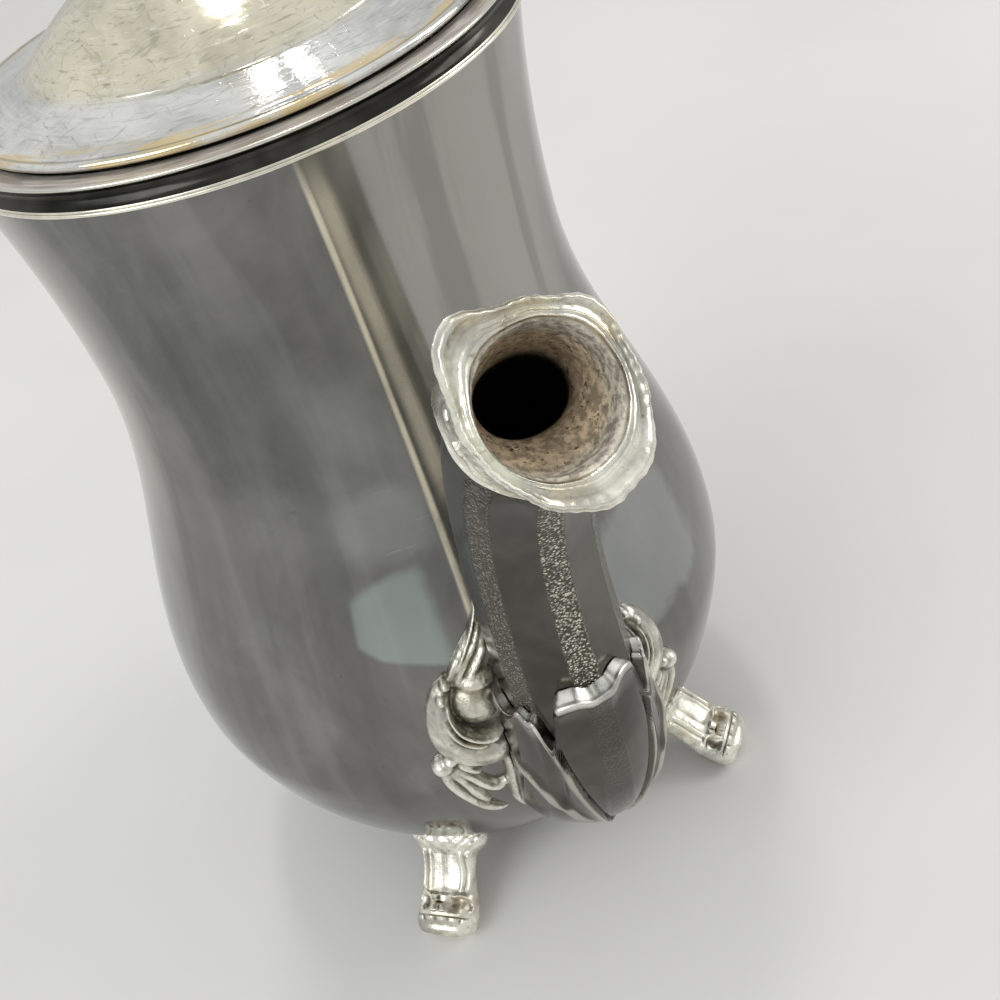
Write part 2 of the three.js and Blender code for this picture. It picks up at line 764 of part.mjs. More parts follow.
// Foot: a fluted strap that leaves the body's underside, sweeps out and ends in a rolled toe.
function castFoot() {
  const lineShares = [[0, 1], [0.24, 0.9], [0.45, 0.68], [0.64, 0.38], [0.82, 0.13], [1, 0], [1.12, -0.05], [1.17, -0.1]];
  const thicknessShares = [1.7, 1.2, 0.95, 0.95, 1.25, 1.6, 1.15, 0.2];
  const widthShares = [1.5, 1.3, 1.03, 1, 1.12, 1.15, 1.0, 0.6];
  const rootReach = bottomRadius + footRootOutset;
  const toeReach = bulgeRadius - footToeInset;
  const points = lineShares.map(([out, up]) =>
    onPlane(lerp(rootReach, toeReach, out), lerp(footToeHeight, footRootHeight, up)),
  );
  const line = new THREE.CatmullRomCurve3(points);
  const toeShare = 5;
  const rings = points.map((centre, i) => {
    const along = line.getTangent(i / (points.length - 1));
    const out = onPlane(-along.z, along.x);
    const thickness = i === toeShare ? footToeRadius : footShankThickness * thicknessShares[i];
    const halfWidth = i > 3 ? footToeHalfWidth * (widthShares[i] / widthShares[toeShare]) : footShankHalfWidth * widthShares[i];
    return circle(footSides).map(([across, over]) => {
      const flute = over > 0 ? footFluteDepth * Math.cos(3 * Math.PI * across) : 0;
      const flat = Math.sign(across) * Math.abs(across) ** 0.8;
      return centre
        .clone()
        .addScaledVector(sideways, Math.min(halfWidth, footTopHalfWidth) * flat)
        .addScaledVector(out, thickness * over + flute);
    });
  });
  const ground = new THREE.BoxGeometry(4 * toeReach, 4 * toeReach, 2 * overrun).translate(0, 0, -overrun);
  return largest(loft(rings).subtract(toSolid(ground)).subtract(bodyEnvelope(seam)));
}

// Where a handle socket starts and the way it points; both lie behind the pot.
function socketAxis(sink, height, angle) {
  const direction = onPlane(-Math.cos(radians(angle)), Math.sin(radians(angle)));
  return { root: onPlane(sink - bodyRadiusAt(height), height), direction };
}

const upperSocketHeight = rimHeight - upperSocketDrop;
const upperAxis = socketAxis(upperSocketSink, upperSocketHeight, upperSocketAngle);
const lowerAxis = socketAxis(lowerSocketSink, lowerSocketHeight, lowerSocketAngle);
const alongAxis = ({ root, direction }, distance) => root.clone().addScaledVector(direction, distance);

// The drill for a handle pin, across the tenon at a distance along the socket's axis.
function pinRod(axis, distance, radius, length) {
  return rod(radius, length, alongAxis(axis, distance), sideways, 8);
}

const pinInset = tenonLength / 2;
const gripStart = (length) => length + seam + insulatorThickness + seam;

// Socket: a tapering cup on the body, bored for the insulator's tenon and cross-drilled.
function handleSocket(axis, length) {
  const rings = [0, 0.35, 0.7, 1].map((share) => {
    const radius = lerp(socketRootRadius, socketTipRadius, Math.sin((Math.PI / 2) * share));
    return circle(smallTurns).map(([up, side]) =>
      alongAxis(axis, length * share)
        .addScaledVector(onPlane(axis.direction.z, -axis.direction.x), radius * up)
        .addScaledVector(sideways, radius * side),
    );
  });
  const bore = rod(tenonRadius + seam, 2 * (tenonLength + seam), alongAxis(axis, length), axis.direction);
  return largest(
    loft(rings)
      .subtract(bodyEnvelope(seam))
      .subtract(bore)
      .subtract(pinRod(axis, length - pinInset, handlePinRadius + seam, 4 * socketTipRadius)),
  );
}

// Insulator: a disc with a tenon on each face.
function handleInsulator(axis, length) {
  const middle = length + seam + insulatorThickness / 2;
  const reach = insulatorThickness + 2 * tenonLength;
  return rod(insulatorRadius, insulatorThickness, alongAxis(axis, middle), axis.direction)
    .add(rod(tenonRadius, reach, alongAxis(axis, middle), axis.direction))
    .subtract(pinRod(axis, length - pinInset, handlePinRadius + seam, 4 * socketTipRadius))
    .subtract(pinRod(axis, gripStart(length) + pinInset, handlePinRadius + seam, 4 * socketTipRadius));
}

// Grip: a C-shaped bar between the insulators, with a leaf on top for the thumb.
function handleGrip() {
  const start = alongAxis(upperAxis, gripStart(upperSocketLength));
  const end = alongAxis(lowerAxis, gripStart(lowerSocketLength));
  const middle = onPlane(-handleReach, upperSocketHeight - handleMidDrop);
  const upperPull = (start.z - middle.z) * (1 + gripUpperPullShare);
  const lowerPull = (middle.z - end.z) * gripLowerPullShare;
  const reach = handleReach + start.x;
  const curve = new THREE.CurvePath();
  curve.add(
    new THREE.CubicBezierCurve3(
      start,
      start.clone().addScaledVector(upperAxis.direction, reach * gripUpperPullShare),
      middle.clone().addScaledVector(upright, upperPull * gripSwellShare * 1.4),
      middle,
    ),
  );
  curve.add(
    new THREE.CubicBezierCurve3(
      middle,
      middle.clone().addScaledVector(upright, -lowerPull),
      end.clone().addScaledVector(lowerAxis.direction, lowerPull),
      end,
    ),
  );
  const rings = Array.from({ length: gripSteps + 1 }, (_, i) => {
    const share = i / gripSteps;
    const centre = curve.getPointAt(share);
    const along = curve.getTangentAt(share).normalize();
    const radius = gripRadius * (1 - gripWaistShare * Math.sin(Math.PI * share) ** 2);
    return circle(12).map(([out, side]) =>
      centre
        .clone()
        .addScaledVector(onPlane(along.z, -along.x), radius * out)
        .addScaledVector(sideways, radius * side),
    );
  });
  const crown = curve.getPointAt(thumbRestShare).addScaledVector(upright, gripRadius * 0.7);
  const rest = lump([thumbRestLength, thumbRestWidth, thumbRestThickness], crown);
  const bore = (axis, length) =>
    rod(tenonRadius + seam, 2 * (tenonLength + seam), alongAxis(axis, gripStart(length)), axis.direction);
  const drill = (axis, length) =>
    pinRod(axis, gripStart(length) + pinInset, handlePinRadius + seam, 4 * socketTipRadius);
  return loft(rings)
    .add(rest)
    .subtract(bore(upperAxis, upperSocketLength))
    .subtract(bore(lowerAxis, lowerSocketLength))
    .subtract(drill(upperAxis, upperSocketLength))
    .subtract(drill(lowerAxis, lowerSocketLength));
}

// The pot and all that is soldered or pinned to it.
function potGroup() {
  const group = new THREE.Group();
  group.add(mesh("body_shell", bodyShell(), silver));
  group.add(mesh("base_plate", basePlate(), silver));
  group.add(mesh("rim_mount", revolveRing(mountProfile(0)), castSilver));
  group.add(mesh("spout_tube", spoutTube(), silver));
  group.add(mesh("spout_sheath", spoutSheath(), silver));
  group.add(mesh("spout_collar", spoutCollar(), castSilver));
  const leaf = spoutLeaf();
  const mirrored = toSolid(mesh("mirrored", leaf, castSilver).geometry.clone().scale(1, -1, 1));
  group.add(mesh("spout_leaf_left", leaf, castSilver));
  group.add(mesh("spout_leaf_right", mirrored, castSilver));
  const foot = castFoot();
  Object.entries(footAngles).forEach(([corner, angle]) => {
    const piece = mesh(`foot_${corner}`, foot, castSilver);
    piece.rotation.z = radians(angle);
    group.add(piece);
  });
  group.add(mesh("hinge_bracket", hingeBracket(), castSilver));
  const pinLength = 2 * (hingeHalfWidth + seam);
  group.add(mesh("hinge_pin", rod(hingePinRadius, pinLength, hingeAxis, sideways), steel));
  return group;
}

// The handle, its sockets, insulators and pins.
function handleGroup() {
  const group = new THREE.Group();
  const pinLength = 2 * socketTipRadius;
  const ends = [["upper", upperAxis, upperSocketLength], ["lower", lowerAxis, lowerSocketLength]];
  ends.forEach(([end, axis, length]) => {
    group.add(mesh(`handle_${end}_socket`, handleSocket(axis, length), castSilver));
    group.add(mesh(`handle_${end}_insulator`, handleInsulator(axis, length), ivoryResin));
    const socketPin = pinRod(axis, length - pinInset, handlePinRadius, pinLength);
    const gripPin = pinRod(axis, gripStart(length) + pinInset, handlePinRadius, pinLength);
    group.add(mesh(`handle_${end}_socket_pin`, socketPin, steel));
    group.add(mesh(`handle_${end}_grip_pin`, gripPin, steel));
  });
  group.add(mesh("handle_grip", handleGrip(), silver));
  return group;
}

// The lid, which turns about the hinge pin, and its finial.
function lidGroup() {
  const group = new THREE.Group();
  const screwHole = rod(finialScrewRadius + seam, 2 * (lidTop - rimHeight), onPlane(0, lidTop), upright);
  group.add(mesh("lid_dome", lidDome().subtract(screwHole), lidSilver));
  group.add(mesh("lid_bezel", lidBezel(), silver));
  group.add(mesh("hinge_leaf", hingeLeaf(), castSilver));
  group.add(mesh("finial_base", finialBase(), castSilver));
  group.add(mesh("finial_washer", finialWasher(), ivoryResin));
  group.add(mesh("finial_knob", finialKnob(), castSilver));
  group.add(mesh("finial_screw", finialScrew(), steel));
  group.add(mesh("finial_nut", finialNut(), steel));
  return group;
}

const teapot = new THREE.Group();
teapot.add(potGroup(), handleGroup(), lidGroup());

// The origin lies on the ground, under the middle of the whole outline.
const bounds = new THREE.Box3().setFromObject(teapot);
const middle = bounds.getCenter(new THREE.Vector3());
teapot.position.set(-middle.x, -middle.y, -bounds.min.z);

export default teapot;
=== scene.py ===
import bmesh
import bpy
import numpy as np
from mathutils import Matrix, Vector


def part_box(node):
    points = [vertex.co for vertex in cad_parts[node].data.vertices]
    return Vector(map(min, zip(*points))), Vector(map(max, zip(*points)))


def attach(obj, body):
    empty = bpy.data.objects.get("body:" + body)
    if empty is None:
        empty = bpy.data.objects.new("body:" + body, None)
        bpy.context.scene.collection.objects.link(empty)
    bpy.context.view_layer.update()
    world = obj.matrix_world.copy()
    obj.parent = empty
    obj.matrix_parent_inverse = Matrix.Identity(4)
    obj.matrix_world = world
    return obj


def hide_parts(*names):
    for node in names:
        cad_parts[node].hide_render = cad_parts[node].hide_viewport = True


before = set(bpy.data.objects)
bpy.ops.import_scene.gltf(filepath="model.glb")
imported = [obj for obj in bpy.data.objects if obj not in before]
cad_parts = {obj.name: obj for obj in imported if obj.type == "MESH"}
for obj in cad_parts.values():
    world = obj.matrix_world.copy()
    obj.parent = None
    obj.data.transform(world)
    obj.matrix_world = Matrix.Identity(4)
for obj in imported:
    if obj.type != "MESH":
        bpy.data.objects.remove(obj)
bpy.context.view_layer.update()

bl_info = {
    "name": "Footed teapot",
    "version": (1, 0, 0),
    "blender": (4, 5, 0),
    "location": "View3D > Sidebar > Teapot",
    "description": "Builds the visible pieces, finishes and stage of a footed teapot",
    "category": "Object",
}

MM = 0.001
# The pot's own axis in the row frame, in metres
AXIS = np.array([sum(corner[0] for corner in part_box("rim_mount")) / 2, 0.0, 0.0])
# Lengths in millimetres: the body's bottom edge, its heights and the rises between them
BASE_RADIUS, BASE_HEIGHT = 36, 12.4
BELLY_HEIGHT, WAIST_HEIGHT, RIM_HEIGHT = 68.2, 158.6, 201.8
BOWL_RISE, SWEEP_RISE, FLARE_RISE = 55.8, 90.4, 43.2
# Root of the spout's centre line, how far it reaches out and up, and the turn of its panels in degrees
SPOUT_ROOT, SPOUT_REACH, PANEL_TURN = np.array([54, 52]), np.array([49.7, 128.8]), 4
# Distances along a handle socket's axis, and radii and half lengths of the pins and of the drill for them
SOCKET_DEPTH, SOCKET_PIN, DISC_MIDDLE, GRIP_START, GRIP_PIN = 18, 15.2, 19.8, 21.6, 24.4
PIN_RADIUS, PIN_HALF, DRILL_RADIUS, DRILL_HALF = 0.8, 6.3, 1.1, 14
# Holes behind the spout: distance between two, height of their middle and radius
HOLE_PITCH, HOLES_HEIGHT, HOLE_RADIUS = 6.4, 77, 1.9
# Middle of the hinge pin, the foot of the lid's dome, and the bore through the dome and the finial
HINGE_MIDDLE, DOME_RADIUS, DOME_HEIGHT, FINIAL_BORE = (-58.2, 0, 207.5), 35, 211.9, 1.8


# Numbers and curves

def blend_in(low, high, x):
    """Smooth step: 0 below low, 1 above high, t * t * (3 - 2 t) between."""
    t = np.clip((x - low) / (high - low), 0, 1)
    return t * t * (3 - 2 * t)


def hump(x, middle, width):
    """Bell curve: e to the power of minus ((x - middle) / width) squared."""
    return np.exp(-(((x - middle) / width) ** 2))


def wrapped(angle):
    """The same angle between -180 and 180 degrees."""
    return (angle + 180) % 360 - 180


def cosine(angle):
    return np.cos(np.radians(angle))


def sine(angle):
    return np.sin(np.radians(angle))


def unit(vectors):
    """Each vector divided by its own length."""
    return vectors / np.linalg.norm(vectors, axis=-1, keepdims=True)


def smooth_path(rows, steps):
    """Catmull-Rom curve through rows of numbers.

    Each stretch is the cubic whose slope at a row is half the difference of its neighbours.
    """
    rows = np.asarray(rows, float)
    padded = np.concatenate([[2 * rows[0] - rows[1]], rows, [2 * rows[-1] - rows[-2]]])
    place = np.linspace(0, len(rows) - 1, steps)
    start = np.minimum(place.astype(int), len(rows) - 2)
    t = (place - start)[:, None]
    before, first, second, after = (padded[start + k] for k in range(4))
    bend = 2 * before - 5 * first + 4 * second - after
    twist = 3 * first - 3 * second + after - before
    return first + t * (second - before) / 2 + t**2 * bend / 2 + t**3 * twist / 2


def cubic(control, t):
    """Bezier curve: (1-t)^3 a + 3 (1-t)^2 t b + 3 (1-t) t^2 c + t^3 d."""
    a, b, c, d = np.asarray(control, float)
    t = t[:, None]
    return (1 - t) ** 3 * a + 3 * (1 - t) ** 2 * t * b + 3 * (1 - t) * t**2 * c + t**3 * d


def evenly(points, steps):
    """Points at equal distances along a line of points, found from its running length."""
    run = np.concatenate([[0], np.cumsum(np.linalg.norm(np.diff(points, axis=0), axis=1))])
    at = np.linspace(0, run[-1], steps)
    return np.stack([np.interp(at, run, column) for column in points.T], axis=-1)


def arc(x, z, radius, start, end, steps):
    """Circle arc in a section: middle + radius (cos a, sin a), a in degrees from start to end."""
    a = np.linspace(start, end, steps)
    return np.stack([x + radius * cosine(a), z + radius * sine(a)], axis=-1)


def rounded(corners, radius, steps=4, closed=True):
    """A section with rounded corners.

    Each corner becomes the curve (1-t)^2 p + 2 t (1-t) corner + t^2 q, p and q being on its two edges.
    """
    corners = np.asarray(corners, float)
    before, after = np.roll(corners, 1, 0) - corners, np.roll(corners, -1, 0) - corners
    length_before = np.linalg.norm(before, axis=1, keepdims=True)
    length_after = np.linalg.norm(after, axis=1, keepdims=True)
    p = corners + before / length_before * np.minimum(radius, length_before * 0.48)
    q = corners + after / length_after * np.minimum(radius, length_after * 0.48)
    t = np.linspace(0, 1, steps)[None, :, None]
    curves = (1 - t) ** 2 * p[:, None] + 2 * t * (1 - t) * corners[:, None] + t**2 * q[:, None]
    if closed:
        return curves.reshape(-1, 2)
    return np.concatenate([corners[:1], curves[1:-1].reshape(-1, 2), corners[-1:]])


def offset(profile, distance):
    """A profile moved along its normals, which are its slope turned by a right angle outwards."""
    slope = np.gradient(profile, axis=0)
    return profile + distance * unit(np.stack([slope[:, 1], -slope[:, 0]], axis=-1))


def unevenness(points, size, seed):
    """Gentle unevenness between -1 and 1: the mean of four sines of slanted distances about size long."""
    slants = np.random.default_rng(seed).normal(size=(3, 4)) * 4 / size
    return np.sin(points @ slants + np.arange(4)).mean(axis=-1)


# Skins: points in millimetres from the pot's axis, quads, and named values for every point

def skin(points, around=True, along=False, **values):
    """A grid of points whose neighbours are joined by quads.

    around joins the last column to the first, along the last row to the first.
    """
    rows, columns = points.shape[:2]
    index = np.arange(rows * columns).reshape(rows, columns)
    if around:
        index = np.concatenate([index, index[:, :1]], axis=1)
    if along:
        index = np.concatenate([index, index[:1]], axis=0)
    quads = np.stack([index[:-1, :-1], index[:-1, 1:], index[1:, 1:], index[1:, :-1]], axis=-1)
    spread = {name: np.broadcast_to(value, (rows, columns)).ravel() for name, value in values.items()}
    return points.reshape(-1, 3), quads.reshape(-1, 4), spread


def joined(*skins):
    """Several skins as one, their quads renumbered and missing values 0."""
    starts = np.cumsum([0] + [len(points) for points, _, _ in skins[:-1]])
    names = sorted(set().union(*(values for _, _, values in skins)))
    points = np.concatenate([one[0] for one in skins])
    quads = np.concatenate([one[1] + start for one, start in zip(skins, starts)])
    values = {n: np.concatenate([one[2].get(n, np.zeros(len(one[0]))) for one in skins]) for n in names}
    return points, quads, values


def turned(section, segments, origin=(0, 0, 0), axis=(0, 0, 1), closed=True, swell=None, **values):
    """Turning: radius * (cos a * u + sin a * v) + height * axis, for each (radius, height) of a section.

    swell gives a radius for (angle, height, radius).
    """
    axis = unit(np.asarray(axis, float))
    v = unit(np.cross(axis, (1, 0, 0))) if abs(axis[0]) < 0.9 else np.array([0.0, 1.0, 0.0])
    u = np.cross(v, axis)
    a = np.linspace(0, 2 * np.pi, segments, endpoint=False)[None, :, None]
    radius, height = (section[:, k][:, None, None] for k in range(2))
    if swell:
        radius = swell(a, height, radius)
    points = np.asarray(origin, float) + radius * (np.cos(a) * u + np.sin(a) * v) + height * axis
    values = {name: np.asarray(value)[:, None] for name, value in values.items()}
    return skin(points, along=closed, **values)


def swept(centre, across, over, radius_across, radius_over, sides, shape):
    """Bar: centre + (w cos(a) across + h sin(a) over) * lift at each step of a path, lift being shape(a)."""
    a = np.linspace(0, 2 * np.pi, sides, endpoint=False)[None, :, None]
    lift = shape(a)
    wide = radius_across[:, None, None] * np.cos(a) * across[:, None]
    high = radius_over[:, None, None] * np.sin(a) * over[:, None]
    return skin(centre[:, None] + wide * lift + high * lift)


def turn_about_axis(one, angle):
    """A skin turned about the pot's axis by an angle in degrees."""
    c, s = cosine(angle), sine(angle)
    return one[0] @ np.array([[c, s, 0], [-s, c, 0], [0, 0, 1]]), one[1], one[2]


def mirrored(one):
    """A skin seen in a mirror on the plane of the spout: y changes its sign."""
    return one[0] * np.array([1, -1, 1]), one[1][:, ::-1], one[2]


# Meshes and pieces

def mesh_of(name, one):
    """Puts a skin into a mesh, in metres: points, quads and values go in as whole arrays.

    Then doubles are merged and faces turned outwards.
    """
    points, quads, values = one
    mesh = bpy.data.meshes.new(name)
    mesh.vertices.add(len(points))
    mesh.vertices.foreach_set("co", (points * MM + AXIS).astype(np.float32).ravel())
    mesh.loops.add(quads.size)
    mesh.loops.foreach_set("vertex_index", quads.astype(np.int32).ravel())
    mesh.polygons.add(len(quads))
    mesh.polygons.foreach_set("loop_start", np.arange(0, quads.size, 4, dtype=np.int32))
    mesh.update(calc_edges=True)
    for key, value in values.items():
        mesh.attributes.new(key, "FLOAT", "POINT").data.foreach_set("value", value.astype(np.float32))
    work = bmesh.new()
    work.from_mesh(mesh)
    bmesh.ops.remove_doubles(work, verts=work.verts, dist=2e-7)
    bmesh.ops.dissolve_degenerate(work, dist=1e-8, edges=work.edges)
    bmesh.ops.recalc_face_normals(work, faces=work.faces)
    work.to_mesh(mesh)
    work.free()
    return mesh


def place(name, mesh):
    """A new object at the origin with that mesh."""
    thing = bpy.data.objects.new(name, mesh)
    bpy.context.scene.collection.objects.link(thing)
    return thing


def make(name, one):
    """A new object from a skin."""
    return place(name, mesh_of(name, one))


def settle(thing):
    """Puts the result of an object's modifiers into its mesh."""
    bpy.context.view_layer.update()
    graph = bpy.context.evaluated_depsgraph_get()
    finished = bpy.data.meshes.new_from_object(
        thing.evaluated_get(graph), preserve_all_data_layers=True, depsgraph=graph
    )
    thing.modifiers.clear()
    old, thing.data = thing.data, finished
    bpy.data.meshes.remove(old)


def cut(thing, *cutters):
    """Takes closed skins away from an object."""
    for one in cutters:
        tool = make("cutter", one)
        modifier = thing.modifiers.new("cut", "BOOLEAN")
        modifier.operation = "DIFFERENCE"
        modifier.solver = "MANIFOLD"
        modifier.object = tool
        settle(thing)
        old = tool.data
        bpy.data.objects.remove(tool)
        bpy.data.meshes.remove(old)


def fuse(thing, voxel, rounds):
    """Joins overlapping skins into one by a voxel remesh of that size in millimetres, then relaxes it."""
    modifier = thing.modifiers.new("fuse", "REMESH")
    modifier.mode = "VOXEL"
    modifier.voxel_size = voxel * MM
    soften = thing.modifiers.new("soften", "SMOOTH")
    soften.factor = 0.5
    soften.iterations = rounds
    settle(thing)


def relaxed(values, edges, rounds):
    """Each value moved to the mean of its neighbours' values, round after round."""
    count = len(values)
    ends = np.concatenate([edges, edges[:, ::-1]])
    degree = np.maximum(np.bincount(ends[:, 0], minlength=count), 1)
    for _ in range(rounds):
        sums = [np.bincount(ends[:, 0], weights=column[ends[:, 1]], minlength=count) for column in values.T]
        values = np.stack(sums, axis=-1) / degree[:, None]
    return values


def mark_recesses(thing, rounds):
    """Point value "recess" in millimetres: how far a relaxed copy of the surface stands above it.

    Ridges are below 0.
    """
    mesh = thing.data
    count = len(mesh.vertices)
    points = np.empty(count * 3, np.float32)
    normals = np.empty(count * 3, np.float32)
    edges = np.empty(len(mesh.edges) * 2, np.int32)
    mesh.vertices.foreach_get("co", points)
    mesh.vertices.foreach_get("normal", normals)
    mesh.edges.foreach_get("vertices", edges)
    points, normals, edges = points.reshape(-1, 3) / MM, normals.reshape(-1, 3), edges.reshape(-1, 2)
    depth = ((relaxed(points, edges, rounds) - points) * normals).sum(axis=1, keepdims=True)
    depth = relaxed(depth, edges, 2)[:, 0]
    if "recess" in mesh.attributes:
        mesh.attributes.remove(mesh.attributes["recess"])
    mesh.attributes.new("recess", "FLOAT", "POINT").data.foreach_set("value", depth.astype(np.float32))


def finish_piece(thing, finish, node, body="pot", sharp=35):
    """Gives a piece its finish and shading, hides the model's node it stands in for, and puts it under its
    body.
    """
    thing.data.materials.clear()
    thing.data.materials.append(finish_named(finish))
    thing.data.shade_smooth()
    thing.data.set_sharp_from_angle(angle=np.radians(sharp))
    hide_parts(node)
    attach(thing, body)


def build(name, one, finish, node, body="pot", sharp=35, cutters=(), recess=0):
    """A piece from a skin: cut, its recesses marked by so many rounds of relaxing, and finished."""
    thing = make(name, one)
    cut(thing, *cutters)
    if recess:
        mark_recesses(thing, recess)
    finish_piece(thing, finish, node, body, sharp)


# Shape of the pot

def body_profile(steps=(56, 84, 36)):
    """Rows of (radius, height) from the body's bottom edge up.

    In the bowl they follow sin(a)^p and 1 - cos(a)^p; then come a cosine sweep to the waist and a flare t^q.
    """
    sizes = bpy.context.scene.teapot_sizes
    bulge, neck, rim = sizes.bulge_radius / MM, sizes.neck_radius / MM, sizes.rim_radius / MM
    a = np.linspace(0, np.pi / 2, steps[0], endpoint=False)
    out, up = np.sin(a) ** 1.27, 1 - np.cos(a) ** 1.27
    bowl = np.stack([BASE_RADIUS + (bulge - BASE_RADIUS) * out, BASE_HEIGHT + BOWL_RISE * up], axis=-1)
    t = np.linspace(0, 1, steps[1], endpoint=False)
    inward = neck + (bulge - neck) * (1 + np.cos(np.pi * t)) / 2
    sweep = np.stack([inward, BELLY_HEIGHT + SWEEP_RISE * t], axis=-1)
    t = np.linspace(0, 1, steps[2])
    flare = np.stack([neck + (rim - neck) * t**2.25, WAIST_HEIGHT + FLARE_RISE * t], axis=-1)
    return np.concatenate([bowl, sweep, flare])


def on_body(azimuth, height, lift=0.0):
    """(point, outward normal) on the body at an angle from the spout and a height."""
    profile = body_profile()
    radius = np.interp(height, profile[:, 1], profile[:, 0])
    slope = np.interp(height, profile[:, 1], np.gradient(profile[:, 0], profile[:, 1]))
    normal = unit(np.stack([cosine(azimuth), sine(azimuth), -slope + 0 * azimuth], axis=-1))
    point = np.stack([radius * cosine(azimuth), radius * sine(azimuth), height + 0 * azimuth], axis=-1)
    return point + normal * np.asarray(lift)[..., None], normal


def body_block(gap=0.05):
    """Everything inside the body's skin, grown by a gap, for cutting what is soldered to it."""
    wall = offset(body_profile((30, 40, 16)), gap)
    low, high = BASE_HEIGHT - gap, RIM_HEIGHT + gap
    bottom, top = [[0, low]], [[0, high]]
    lower, upper = [[BASE_RADIUS + gap, low]], [[wall[-1, 0], high]]
    return turned(np.concatenate([bottom, lower, wall[1:-1], upper, top]), 128, closed=False)


SPOUT_LOWER = [[0, 0], [0.201, 0.039], [0.342, 0.14], [0.372, 0.411]]
SPOUT_UPPER = [[0.372, 0.411], [0.402, 0.761], [0.662, 0.915], [1, 1]]


def spout_line():
    """Centre line of the spout at even distances, from two Bezier curves.

    Its rows are the share of the length, x, z, slope x and slope z.
    """
    t = np.linspace(0, 1, 400)
    shares = np.concatenate([cubic(SPOUT_LOWER, t), cubic(SPOUT_UPPER, t)[1:]])
    line = evenly(shares * SPOUT_REACH + SPOUT_ROOT, 600)
    slope = unit(np.gradient(line, axis=0))
    return np.concatenate([np.linspace(0, 1, 600)[:, None], line, slope], axis=1).T


SPOUT = spout_line()
SPOUT_LENGTH = float(np.linalg.norm(np.diff(SPOUT[1:3], axis=1), axis=0).sum())


def spout_point(share, angle, radius):
    """Centre of the spout at a share of its length + radius * (cos(angle) * front + sin(angle) * side)."""
    x, z, slope_x, slope_z = (np.interp(share, SPOUT[0], row) for row in SPOUT[1:])
    out, side = radius * cosine(angle), radius * sine(angle)
    return np.stack(np.broadcast_arrays(x + out * slope_z, side, z - out * slope_x), axis=-1)


def spout_radius(share):
    """Radius at the corners of the spout: from the root's to the mouth's by a smooth step."""
    sizes = bpy.context.scene.teapot_sizes
    root, mouth = sizes.spout_root_radius / MM, sizes.spout_mouth_radius / MM
    return root + (mouth - root) * blend_in(0, 1, share)


def panelled(angle):
    """Share of the corner radius round the spout, and 1 on its raised bands.

    Straight chords cross six bands of 24 and six panels of 36 degrees, and a short mean softens the corners.
    """
    def chords(a):
        local = np.abs((a + 30) % 60 - 30)
        return np.where(local < 12, cosine(12) / cosine(local), cosine(18) / cosine(30 - local))
    soft = np.mean([chords(angle + shift) for shift in (-1.5, -0.75, 0, 0.75, 1.5)], axis=0)
    local = np.abs((angle + 30) % 60 - 30)
    band = 1 - blend_in(10.6, 12.2, local)
    return soft + 0.013 * band, band


def sheath_edge(angle):
    """Height of the sheath's leafy edge: a front leaf, a notch and a side leaf, alike on both sides."""
    away = [0, 8, 16, 26, 33, 36.5, 39, 41.5, 44, 46.5, 49, 53, 58, 62, 66, 70, 78, 90, 180]
    height = [
        103.4, 103.0, 104.2, 104, 103.4, 102.4, 98, 90, 86, 90.5, 96.6, 98.8, 97.4, 97.4, 100.2, 98, 95.5,
        94, 93,
    ]
    shifts = (-3.5, -2, -0.7, 0.7, 2, 3.5)
    return np.mean([np.interp(np.abs(angle + shift), away, height) for shift in shifts], axis=0)


def sheath_relief(points):
    """Leaves on the sheath, in millimetres.

    A side leaf is raised behind a slanting edge with a groove before it, and a rib stands behind that.
    """
    angle = np.abs(np.degrees(np.arctan2(points[..., 1], points[..., 0] - 71.5)))
    height = points[..., 2]
    past = angle - np.interp(height, [38, 52, 70.6, 88.9, 97.4, 104], [14, 24, 34.3, 43.8, 48.3, 52])
    leaf = blend_in(0, 1.6, past) * (0.2 + 0.6 * (1 - blend_in(0, 18, past)))
    groove = -0.35 * hump(past, -0.9, 1.0)
    bead = 0.35 * hump(past, 2.4, 1.4) * blend_in(78, 94, height)
    ridge = np.interp(height, [46, 52, 58, 65, 71.9, 76.5, 79.5], [33, 40, 48, 56.6, 65.6, 73, 88])
    rib = 1.1 * hump(angle, ridge, 5) * blend_in(50, 62, height) * (1 - blend_in(78, 82, height))
    return leaf + groove + bead + rib


